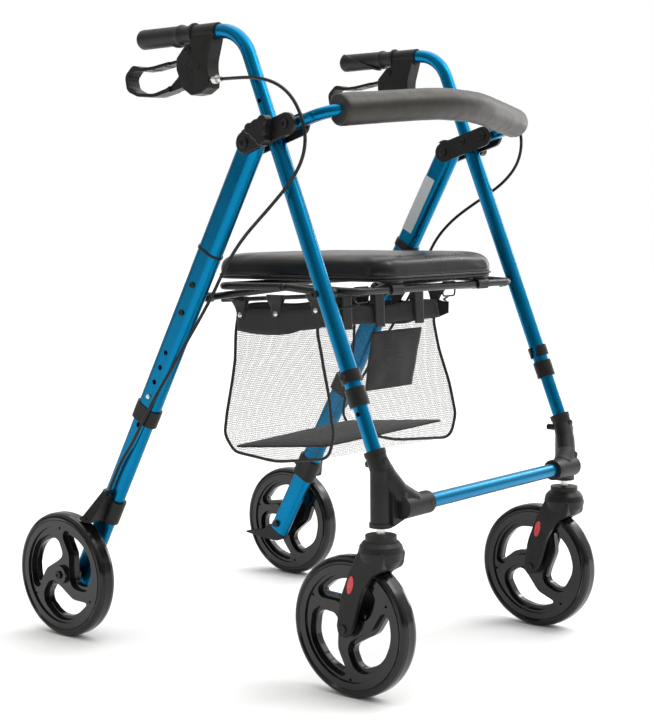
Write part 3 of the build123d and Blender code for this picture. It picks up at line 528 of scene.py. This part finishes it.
def rounded(points, radii, step=0.25):
    """The outline through points with its corners turned into arcs, divided every step radians."""
    line = []
    n = len(points)
    for i, (p, r) in enumerate(zip(points, radii)):
        p = Vector(p)
        a, b = Vector(points[i - 1]) - p, Vector(points[(i + 1) % n]) - p
        half = a.angle(b) / 2
        reach = min(r / math.tan(half), 0.48 * a.length, 0.48 * b.length)
        r = reach * math.tan(half)
        centre = p + (a.normalized() + b.normalized()).normalized() * (r / math.sin(half))
        start, end = p + a.normalized() * reach - centre, p + b.normalized() * reach - centre
        turn = math.pi - 2 * half
        count = max(2, int(turn / step) + 2)
        for k in range(count + 1):
            t = k / count
            mix = (start * math.sin((1 - t) * turn) + end * math.sin(t * turn)) / max(math.sin(turn), 1e-6)
            line.append(centre + mix)
    return line


def evenly(line, count, closed=False):
    """count points at equal distances along a line of points."""
    line = [Vector(p) for p in line] + ([Vector(line[0])] if closed else [])
    runs = [(b - a).length for a, b in zip(line, line[1:])]
    total = sum(runs)
    stops = count if closed else count - 1
    result, i, gone = [], 0, 0.0
    for k in range(count):
        want = total * k / stops
        while i < len(runs) - 1 and gone + runs[i] < want:
            gone += runs[i]
            i += 1
        t = (want - gone) / max(runs[i], 1e-9)
        result.append(line[i].lerp(line[i + 1], min(max(t, 0), 1)))
    return result


def lathe(name, profile, centre, axis, material, sides=28):
    """A solid of revolution: profile is (radius, height) pairs, turned about axis through centre."""
    axis = Vector(axis).normalized()
    side = axis.orthogonal().normalized()
    other = axis.cross(side)
    rings = [[Vector(centre) + axis * h + (side * math.cos(a) + other * math.sin(a)) * r
              for a in (2 * math.pi * k / sides for k in range(sides))] for r, h in profile]
    return loft(name, rings, material)


def side_name(way):
    return "left" if way > 0 else "right"


def ripple(p, size, seed=0.0):
    """Smooth noise about zero, for cloth that isn't quite flat."""
    return noise.noise(Vector(p) * size + Vector((seed, seed * 0.7, -seed)))


def thicken(obj, thickness):
    """Gives an open sheet its thickness, half to each side."""
    solid = obj.modifiers.new("thickness", "SOLIDIFY")
    solid.thickness = thickness
    solid.offset = 0.0
    return obj


# ------------------------------------------------------------------ seat pad

def pad_ring(inset, z, count=120):
    """The pad's rounded rectangle, drawn in by inset, at height z."""
    mid_y, half_y = (SEAT_FRONT + SEAT_BACK) / 2, (SEAT_BACK - SEAT_FRONT) / 2
    hx, hy = SEAT_HALF - inset, half_y - inset
    r = max(0.031 - inset * 0.5, 0.006)
    corners = [(hx, hy), (-hx, hy), (-hx, -hy), (hx, -hy)]
    line = rounded([Vector((x, y)) for x, y in corners], [r] * 4, step=0.12)
    return [Vector((p.x, mid_y + p.y, z)) for p in evenly(line, count, closed=True)]


def inflate(obj, cap, held_below):
    """Blows the closed cover up with Cloth. What lies below held_below stays, and no point moves over cap."""
    group = obj.vertex_groups.new(name="held")
    start = [v.co.copy() for v in obj.data.vertices]
    group.add([v.index for v in obj.data.vertices if v.co.z < held_below], 1.0, "REPLACE")
    cloth = obj.modifiers.new("cloth", "CLOTH")
    cloth.settings.quality = 6
    cloth.settings.mass = 0.3
    cloth.settings.tension_stiffness = 30
    cloth.settings.compression_stiffness = 30
    cloth.settings.bending_stiffness = 8
    cloth.settings.vertex_group_mass = "held"
    cloth.settings.use_pressure = True
    cloth.settings.uniform_pressure_force = 4.0
    cloth.settings.effector_weights.gravity = 0.0
    cloth.collision_settings.use_collision = False
    frames = 20
    cloth.point_cache.frame_end = frames
    scene = bpy.context.scene
    for number in range(1, frames + 1):
        scene.frame_set(number)
    shape = obj.evaluated_get(bpy.context.evaluated_depsgraph_get()).to_mesh()
    moved = [v.co.copy() for v in shape.vertices]
    obj.modifiers.remove(cloth)
    scene.frame_set(1)
    for v, a, b in zip(obj.data.vertices, start, moved):
        step = b - a
        if step.length > cap:
            step = step.normalized() * cap
        v.co = a + step


def seat():
    """The crowned vinyl pad on its thin board, with the welt between them and the two hooks under it."""
    low = SEAT_BOTTOM + 0.0052
    rise = SEAT_TOP - low
    profile = [(0.10, 0.0), (0.05, 0.0), (0.02, 0.0), (0.006, 0.0), (0.0022, 0.0008), (0.0006, 0.0035),
               (-0.0001, 0.009), (0.0, 0.014), (0.0006, 0.019), (0.0018, 0.0232), (0.0042, 0.0272),
               (0.0080, 0.0302), (0.0135, 0.0322), (0.022, 0.0336), (0.035, 0.0346), (0.055, 0.0354),
               (0.080, 0.0359), (0.105, 0.0362), (0.13, 0.0364)]
    scale = (rise - 0.0014) / profile[-1][1]
    rings = [pad_ring(inset + 0.0012, low + z * scale) for inset, z in profile]
    pad = loft("seat_cushion", rings, VINYL)
    inflate(pad, 0.0022, low + 0.002)
    for v in pad.data.vertices:
        x, y, z = v.co
        if z > low + 0.016:
            v.co.z += 0.0009 * ripple((x, y, 0), 14, 3.0) - 0.0005
        v.co.z = min(v.co.z, SEAT_TOP + 0.002)
    smooth = pad.modifiers.new("smooth", "SUBSURF")
    smooth.levels = smooth.render_levels = 1
    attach(pad, "seat")
    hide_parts("seat_pad")

    welt = tube("seat_welt", pad_ring(0.0012, low + 0.0012, 160), 0.0016, VINYL, sides=10, closed=True)
    edge = ((0.03, 0.0), (0.0045, 0.0), (0.003, 0.0006), (0.0022, 0.0018), (0.0022, 0.0042),
            (0.003, 0.0050), (0.03, 0.0050))
    board = loft("seat_board", [pad_ring(inset, SEAT_BOTTOM + z) for inset, z in edge], PLASTIC)
    for piece, finish in ((welt, "seat_vinyl"), (board, "black_plastic")):
        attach(piece, "seat")
    for way in (-1, 1):
        y, z = BAR
        outer, inner = 0.0090, 0.0057
        ring = []
        for r, turn in ((outer, 1), (inner, -1)):
            for k in range(25):
                a = math.radians(-60 + 12.5 * k) if turn > 0 else math.radians(240 - 12.5 * k)
                ring.append((y + r * math.cos(a), z + r * math.sin(a)))
        verts = [(way * HOOK_X + dx, p, q) for dx in (-0.014, 0.014) for p, q in ring]
        n = len(ring)
        faces = [(i, (i + 1) % n, n + (i + 1) % n, n + i) for i in range(n)]
        half = n // 2
        for base in (0, n):
            faces += [(base + i, base + i + 1, base + n - 2 - i, base + n - 1 - i) for i in range(half - 1)]
        hook = make(f"seat_hook_{side_name(way)}", verts, faces, PLASTIC, smooth=False)
        bevel = hook.modifiers.new("edge", "BEVEL")
        bevel.width, bevel.segments = 0.0006, 2
        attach(hook, "seat")
        square = ((-1, -1), (0, -1), (1, -1), (1, 0), (1, 1), (0, 1), (-1, 1), (-1, 0))
        levels = ((0.010, 0.006, z + 0.0078), (0.0135, 0.009, z + 0.0088),
                  (0.014, 0.010, SEAT_BOTTOM + 0.0005))
        rings = [[(way * HOOK_X + u * w, y + 0.004 + v * d, h) for u, v in square] for w, d, h in levels]
        neck = loft(f"seat_hook_neck_{side_name(way)}", rings, PLASTIC)
        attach(neck, "seat")


seat()


# ------------------------------------------------------------------ backrest foam

def bow(x):
    """The middle line of the bowed backrest tube: two straight halves eased together within turn."""
    middle, corner = Vector((0, -0.3005, 0.835)), Vector((SIDE_X, -0.2424, 0.813))
    turn = 0.10
    reach = abs(x) if abs(x) > turn else x * x / (2 * turn) + turn / 2
    share = reach / corner.x
    return Vector((x, middle.y + (corner.y - middle.y) * share, middle.z + (corner.z - middle.z) * share))


def foam():
    """The split foam sleeve, a little uneven as foam is, with flat ends turned in at their rims."""
    end = foam_end - 0.0052
    radius = 0.0230
    bore = (0.0086, 0.013, 0.0185, 0.0205)   # the flat end's radii, from the tube out
    stops = [-end + 2 * end * k / 90 for k in range(91)]

    def ring(x, r):
        p = bow(x)
        along = (bow(x + 0.004) - bow(x - 0.004)).normalized()
        side = along.cross(Vector((0, 0, 1))).normalized()
        up = side.cross(along)
        points = []
        for k in range(48):
            a = 2 * math.pi * k / 48
            spot = p + side * (r * math.cos(a)) + up * (r * math.sin(a))
            swell = 0.0007 * ripple(spot, 22, 1.0) + 0.0004 * ripple(spot, 60, 5.0)
            dent = 0.0011 * math.exp(-((a - 1.5 * math.pi) / 0.06) ** 2)
            points.append(spot + (spot - p).normalized() * ((swell - dent) if r > 0.02 else 0))
        return points

    rings = [ring(-end, r) for r in bore]
    rings.append(ring(-end + 0.0008, radius - 0.0012))
    rings += [ring(x, radius) for x in stops[1:-1]]
    rings.append(ring(end - 0.0008, radius - 0.0012))
    rings += [ring(end, r) for r in reversed(bore)]
    verts, faces = grid(rings, wrap_u=True)
    sleeve = make("backrest_foam", verts, faces, FOAM)
    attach(sleeve, "frame")
    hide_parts("backrest_pad")


foam()


# ------------------------------------------------------------------ bag under the seat

BAG_SIDE = [(-0.143, 0.530), (-0.141, 0.498), (-0.151, 0.455), (-0.172, 0.400), (-0.184, 0.350),
            (-0.174, 0.311), (-0.060, 0.297), (0.030, 0.305), (0.051, 0.330), (0.045, 0.366), (0.033, 0.415),
            (0.026, 0.450), (0.024, 0.495), (0.016, 0.528)]
BAG_ROUND = [0.001, 0.04, 0.12, 0.16, 0.026, 0.024, 0.16, 0.024, 0.022, 0.06, 0.12, 0.06, 0.12, 0.001]
FRONT_TOP, FRONT_FOOT = (-0.1429, 0.529), (-0.1800, 0.336)   # the outline's corners between the panels
BACK_FOOT, BACK_TOP = (0.0500, 0.334), (0.0165, 0.5275)
LEAN = 0.0065


def lean(x, y, z):
    """The bag hangs unevenly: its lower front is twice LEAN further back on the right than on the left."""
    low = min(1.0, max(0.0, (0.46 - z) / 0.09))
    fore = min(1.0, max(0.0, (-0.02 - y) / 0.12))
    return y - LEAN * (x / BAG_X) * low * fore + LEAN * low * fore


def bag_part(obj):
    """Rides with the seat frame and stands for the CAD basket."""
    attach(obj, "seat_frame")
    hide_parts("basket")


def side_panels():
    """The two mesh sides: the outline filled by rings that shrink to its middle, bellied out a little."""
    outline = rounded([Vector(p) for p in BAG_SIDE], BAG_ROUND)
    loop = evenly(outline, 132, closed=True)
    middle = sum(loop, Vector((0, 0))) / len(loop)
    for way in (-1, 1):
        rows, uvs = [], []
        for k in range(17):
            s = 1 - k / 16.2
            row = []
            for p in loop:
                q = middle + (p - middle) * s
                belly = 0.0045 * (1 - s ** 2.4) + 0.0009 * ripple((q.x, q.y, way), 18, way) * (1 - s ** 6)
                row.append(Vector((way * (PANEL_X + belly), lean(way * BAG_X, q.x, q.y), q.y)))
                uvs.append((q.x, q.y))
            rows.append(row)
        verts, faces = grid(rows, wrap_u=True)
        last = len(verts) - len(loop)
        verts.append(sum(rows[-1], Vector()) / len(loop))
        uvs.append((middle.x, middle.y))
        faces += [(last + j, last + (j + 1) % len(loop), len(verts) - 1) for j in range(len(loop))]
        panel = make(f"bag_side_{side_name(way)}", verts, faces, NET, uvs=uvs)
        bag_part(panel)
        # the piping follows the outline except for its open top, which may span the loop's start
        line = [Vector((way * BAG_X, lean(way * BAG_X, p.x, p.y), p.y)) for p in loop]
        top = [i for i in range(len(line)) if line[i].z > 0.527]
        whole = max(top) - min(top) < len(line) // 2
        start = max(top) + 1 if whole else [i for i in range(len(line)) if i not in top][0]
        run = [line[(start + i) % len(line)] for i in range(len(line) - len(top))]
        cord = tube(f"bag_piping_{side_name(way)}", run, 0.0024, PIPING, sides=12)
        bag_part(cord)


def profile_run(first, last, count):
    """Points along the bag's outline between two of its corners, in order round the bottom."""
    outline = rounded([Vector(p) for p in BAG_SIDE], BAG_ROUND)
    a, b = (min(range(len(outline)), key=lambda i: (outline[i] - Vector(p)).length) for p in (first, last))
    return evenly(outline[a:b + 1], count)


def wrap_panel(name, run, belly, seed):
    """A mesh panel across the bag that follows the outline run, pushed out by belly at its middle."""
    inside = Vector((-0.06, 0.41))
    rows, uvs = [], []
    gone = 0.0
    for i, p in enumerate(run):
        if i:
            gone += (p - run[i - 1]).length
        ahead, behind = run[min(i + 1, len(run) - 1)], run[max(i - 1, 0)]
        along = (ahead - behind).normalized()
        out = Vector((along.y, -along.x))
        if out.dot(p - inside) < 0:
            out = -out
        t = i / (len(run) - 1)
        row = []
        for j in range(61):
            u = -1 + 2 * j / 60
            x = PANEL_X * u
            push = belly * (1 - u ** 4) * math.sin(math.pi * t)
            push += 0.001 * ripple((x, p.x, p.y), 16, seed) * (1 - u ** 6)
            row.append(Vector((x, lean(x, p.x, p.y) + out.x * push, p.y + out.y * push)))
            uvs.append((x, gone))
        rows.append(row)
    verts, faces = grid(rows)
    panel = make(name, verts, faces, NET, uvs=uvs)
    bag_part(panel)


def floor_board():
    """The stiff black board, covered in canvas, that lies tilted on the bag's bottom."""
    back = 0.037
    rings = []
    edge = ((0.06, 0.0), (0.0016, 0.0), (0.0, 0.0008), (0.0, 0.0024), (0.0016, 0.0032), (0.06, 0.0032))
    for inset, lift in edge:
        hx, low, high = 0.1405 - inset, -0.164 + inset, back - inset
        corners = [Vector((hx, high)), Vector((-hx, high)), Vector((-hx, low)), Vector((hx, low))]
        line = evenly(rounded(corners, [max(0.006 - inset, 0.002)] * 4), 96, closed=True)
        rings.append([Vector((p.x, lean(p.x, p.y, 0.32),
                              0.310 + 0.085 * (back - p.y) + 0.036 * (p.x + 0.14) + lift)) for p in line])
    bag_part(loft("bag_floor_board", rings, CANVAS))


def front_pocket():
    """The flat black pocket that hangs inside the front panel."""
    top, bottom = (-0.1425, 0.491), (-0.128, 0.398)
    rows, uvs = [], []
    for i in range(21):
        t = i / 20
        y, z = top[0] + (bottom[0] - top[0]) * t, top[1] + (bottom[1] - top[1]) * t
        row = []
        for j in range(25):
            u = j / 24
            x = -0.018 + (0.128 - 0.006 * t) * u
            puff = 0.0022 * ripple((x, y, z), 30, 9.0) - 0.003 * math.sin(math.pi * u) * math.sin(math.pi * t)
            row.append(Vector((x, y + puff, z)))
            uvs.append((x, z))
        rows.append(row)
    verts, faces = grid(rows)
    bag_part(thicken(make("bag_pocket", verts, faces, CANVAS, uvs=uvs), 0.0012))


def band(name, points):
    """A canvas strip from rows of (upper, lower) points, filled with five steps between them."""
    rows = [[Vector(a).lerp(Vector(b), k / 5) for k in range(6)] for a, b in points]
    verts, faces = grid(rows)
    bag_part(thicken(make(name, verts, faces, CANVAS), 0.0011))


TABS = ((0.011, 0.5195), (-0.062, 0.5235), (-0.141, 0.531))    # y of each tab, z of its rivet
RIVET = [(0.0042, 0.0), (0.0042, 0.0006), (0.0036, 0.0014), (0.0022, 0.0021), (0.0008, 0.0023)]
SNAP = [(0.0058, 0.0), (0.0058, 0.0009), (0.0052, 0.0016), (0.0034, 0.0018), (0.0030, 0.0012),
        (0.0006, 0.0012)]


def side_bands():
    """Bands along the top of the sides, hollowed between the riveted tabs that go over the rails."""
    for way in (-1, 1):
        name = side_name(way)
        pairs = []
        for k in range(61):
            t = k / 60
            y = 0.018 - 0.187 * t
            near = min(abs(y - tab) for tab, _ in TABS)
            top = 0.5275 + 0.0045 * t + 0.006 * max(0.0, 1 - near / 0.022) ** 2
            low = 0.4965 - 0.006 * math.sin(math.pi * min(1.0, (0.031 - y) / 0.14))
            low += 0.011 * max(0.0, (t - 0.55)) / 0.45
            past = -0.148 - y                        # the flap beyond the bag's front edge tapers
            if past > 0:
                low += past * 0.25
                top -= past * 0.03
            x = BAG_X + 0.0016 + 0.0010 * ripple((0, y, 0.5), 30, way)
            pairs.append(((way * (x + 0.001), y, top), (way * x, y, low)))
        band(f"bag_band_{name}", pairs)
        for number, (tab, stud) in enumerate(TABS):
            level = rail_z(tab)
            wrap = RAIL_R + 0.0011
            profile = [(BAG_X + 0.0032, stud - 0.006), (BAG_X + 0.0034, stud + 0.002),
                       (BAG_X + 0.0050, (stud + level) / 2), (RAIL_X + wrap, level - 0.0005)]
            for k in range(1, 8):
                a = math.pi * k / 8
                profile.append((RAIL_X + wrap * math.cos(a), level + wrap * math.sin(a)))
            profile += [(RAIL_X - wrap, level - 0.0005), (BAG_X + 0.0006, level - 0.013),
                        (BAG_X + 0.0004, 0.521)]
            points = evenly([Vector((p[0], 0, p[1])) for p in profile], 34)
            rows = []
            for p in points:
                share = min(1.0, max(0.0, (p.z - stud + 0.006) / (level - stud + 0.006)))
                width = 0.0065 + 0.0095 * share ** 1.7
                middle = tab - 0.002 * share
                rows.append([Vector((way * p.x, middle + width * (-1 + 2 * j / 8), p.z)) for j in range(9)])
            verts, faces = grid(rows)
            bag_part(thicken(make(f"bag_tab_{name}_{number}", verts, faces, WEBBING), 0.0010))
            place = (way * (BAG_X + 0.0036), tab, stud)
            rivet = lathe(f"bag_rivet_{name}_{number}", RIVET, place, (way, 0, 0), STEEL)
            bag_part(rivet)
        snap = lathe(f"bag_snap_{name}", SNAP, (way * 0.100, -0.1502, 0.519), (0, -1, 0.1), STEEL)
        bag_part(snap)


def front_band_and_straps():
    """The bands across the bag's front and back, and the three straps that hang it from the cross wire."""
    for name, y, foot, way in (("front", -0.1445, -0.006, -1), ("back", 0.0175, 0.004, 1)):
        pairs = []
        for k in range(41):
            u = -1 + 2 * k / 40
            x = (BAG_X + 0.0005) * u
            sag = 0.003 * math.cos(math.pi * u * 1.5)
            wave = 0.0014 * ripple((x, 0, 0), 24, 2.0 + way)
            upper = (x, y + way * 0.002 + wave, 0.5335 - sag)
            lower = (x, y + foot + way * 0.002 + wave, 0.5055 - sag / 3)
            pairs.append((upper, lower))
        band(f"bag_band_{name}", pairs)
    for number, x in enumerate((-0.094, -0.014, 0.088)):
        y0, z0, wrap = CROSS_Y, rail_z(CROSS_Y), 0.0044
        line = [Vector((0, y0 - 0.0062, 0.4995)), Vector((0, y0 - 0.0052, 0.512)),
                Vector((0, y0 - 0.0046, 0.535)), Vector((0, y0 - wrap, z0))]
        for k in range(1, 8):
            a = math.pi * k / 8
            line.append(Vector((0, y0 - wrap * math.cos(a), z0 + wrap * math.sin(a))))
        line += [Vector((0, y0 + wrap, z0)), Vector((0, y0 + 0.0050, 0.535))]
        rows = []
        for p in evenly(line, 40):
            drift = 0.0008 * ripple((x, p.y, p.z), 40, number)
            rows.append([Vector((x + drift + 0.0115 * (-1 + 2 * j / 8), p.y, p.z)) for j in range(9)])
        verts, faces = grid(rows)
        uvs = [(v.x, v.z) for v in verts]
        bag_part(thicken(make(f"bag_strap_{number}", verts, faces, WEBBING, uvs=uvs), 0.0012))


def wire_loops():
    """The two small wire loops under the pad's front, each with the tie that holds the bag to it."""
    for way in (-1, 1):
        x, y, z = way * 0.1116, -0.1959, 0.5537
        half, drop = 0.0175, 0.011
        shape = ((-1, 1), (1, 1), (0.9, -1), (-0.9, -1))
        corners = [Vector((x + half * w, y, z + drop * h)) for w, h in shape]
        line = rounded(corners, [0.003, 0.003, 0.005, 0.005])
        loop = tube(f"seat_wire_loop_{side_name(way)}", line, 0.0014, COAT, sides=10, closed=True)
        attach(loop, "seat_frame")
        strap = [Vector((x, y, z - drop)), Vector((x, y + 0.01, z - drop - 0.006)),
                 Vector((way * BAG_X, -0.166, 0.532))]
        tie = tube(f"bag_loop_tie_{side_name(way)}", evenly(strap, 14), 0.0016, WEBBING, sides=10)
        bag_part(tie)


side_panels()
wrap_panel("bag_front", profile_run(FRONT_TOP, FRONT_FOOT, 60), 0.004, 1.0)
wrap_panel("bag_bottom", profile_run(FRONT_FOOT, BACK_FOOT, 70), 0.0015, 2.0)
wrap_panel("bag_back", profile_run(BACK_FOOT, BACK_TOP, 56), 0.003, 3.0)
floor_board()
front_pocket()
side_bands()
front_band_and_straps()
wire_loops()


# ------------------------------------------------------------------ brake cables

# Routes in millimetres, from the lever housing's barrel. ROUTE_END is the left one's, mirrored for the right.
ROUTE_END = [(257, 64, 430), (260, 84, 402), (260.5, 102, 377), (260.5, 121, 350),
             (259, 143, 320), (257.5, 168, 293), (257.5, 186.9, 262), (257.5, 200.6, 237.6)]
ROUTE_RIGHT = [(-248, -50.6, 867.6), (-255.5, -92, 866.5), (-259.5, -129, 864), (-263, -166, 855),
               (-266, -196, 837), (-268, -216, 811), (-268, -226, 779), (-268, -220, 747),
               (-267, -198, 718), (-266, -168, 692), (-264, -136, 667), (-261, -103, 642),
               (-258, -75, 615), (-257, -53, 586), (-257, -34, 556), (-257, -10, 524),
               (-257, 16, 491), (-257, 41, 460)]
ROUTE_LEFT = [(248, -50.6, 867.6), (255.5, -92, 866.5), (259.5, -131, 864), (263, -169, 856),
              (266, -203, 840), (268, -226, 815), (268, -232, 783), (268, -223, 751),
              (267, -200, 725), (266, -168, 704), (264, -132, 684), (261, -97, 661),
              (258, -68, 632), (257, -48, 598), (257, -30, 562), (257, -8, 527),
              (257, 17, 492), (257, 41, 460)]
CABLE_R = 0.0025
CABLE_JOIN_Z = 0.54      # where the loop's sleeve meets the leg's


def smooth_line(name, route):
    """Points of the NURBS spline whose control points are the route."""
    curve = bpy.data.curves.new(name, "CURVE")
    curve.dimensions = "3D"
    curve.resolution_u = 10
    spline = curve.splines.new("NURBS")
    spline.points.add(len(route) - 1)
    for point, (x, y, z) in zip(spline.points, route):
        point.co = (x / 1000, y / 1000, z / 1000, 1)
    spline.order_u = 3
    spline.use_endpoint_u = True
    obj = bpy.data.objects.new(name, curve)
    bpy.context.scene.collection.objects.link(obj)
    mesh = bpy.data.meshes.new_from_object(obj)
    line = [v.co.copy() for v in mesh.vertices]
    bpy.data.objects.remove(obj)
    return line


def cables():
    """Each cable as three sleeves: one across the handle's slide, one across the fold and one across the
    leg's slide.
    """
    for name, way, route in (("right", -1, ROUTE_RIGHT), ("left", 1, ROUTE_LEFT)):
        line = smooth_line(f"route_{name}", route + [(way * x, y, z) for x, y, z in ROUTE_END])
        low = min(range(len(line)), key=lambda i: line[i].y)
        mid = min(range(low, len(line)), key=lambda i: abs(line[i].z - CABLE_JOIN_Z))
        for part, a, b, body_a, body_b, start, end in (
                ("upper", 0, low, f"handle_{name}", "frame", line[0], line[low]),
                ("loop", low, mid, "frame", "rear_frame", line[low], line[mid]),
                ("lower", mid, len(line) - 1, "rear_frame", f"rear_lower_{name}", line[mid], line[-1])):
            piece = tube(f"cable_{part}_{name}", line[a:b + 1], CABLE_R, SLEEVE, sides=12)
            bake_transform(piece)
            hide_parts(f"cable_{name}")


cables()


# ------------------------------------------------------------------ blank label on the left rear leg

def label():
    """A blank white label on the flat inner face of the left rear leg."""
    x = SIDE_X - LEG_THICK / 2 - 0.00012
    upper, lower = Vector((-0.0745, 0.733)), Vector((-0.0245, 0.644))
    along = (lower - upper).normalized()
    across = Vector((-along.y, along.x))
    half = 0.0105
    corners = [upper + across * half, lower + across * half, lower - across * half, upper - across * half]
    line = rounded(corners, [0.002] * 4)
    verts = [Vector((x, p.x, p.y)) for p in line] + [Vector((x, *((upper + lower) / 2)))]
    n = len(line)
    faces = [(i, (i + 1) % n, n) for i in range(n)]
    plate = make("leg_label", verts, faces, LABEL)
    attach(plate, "rear_frame")


label()
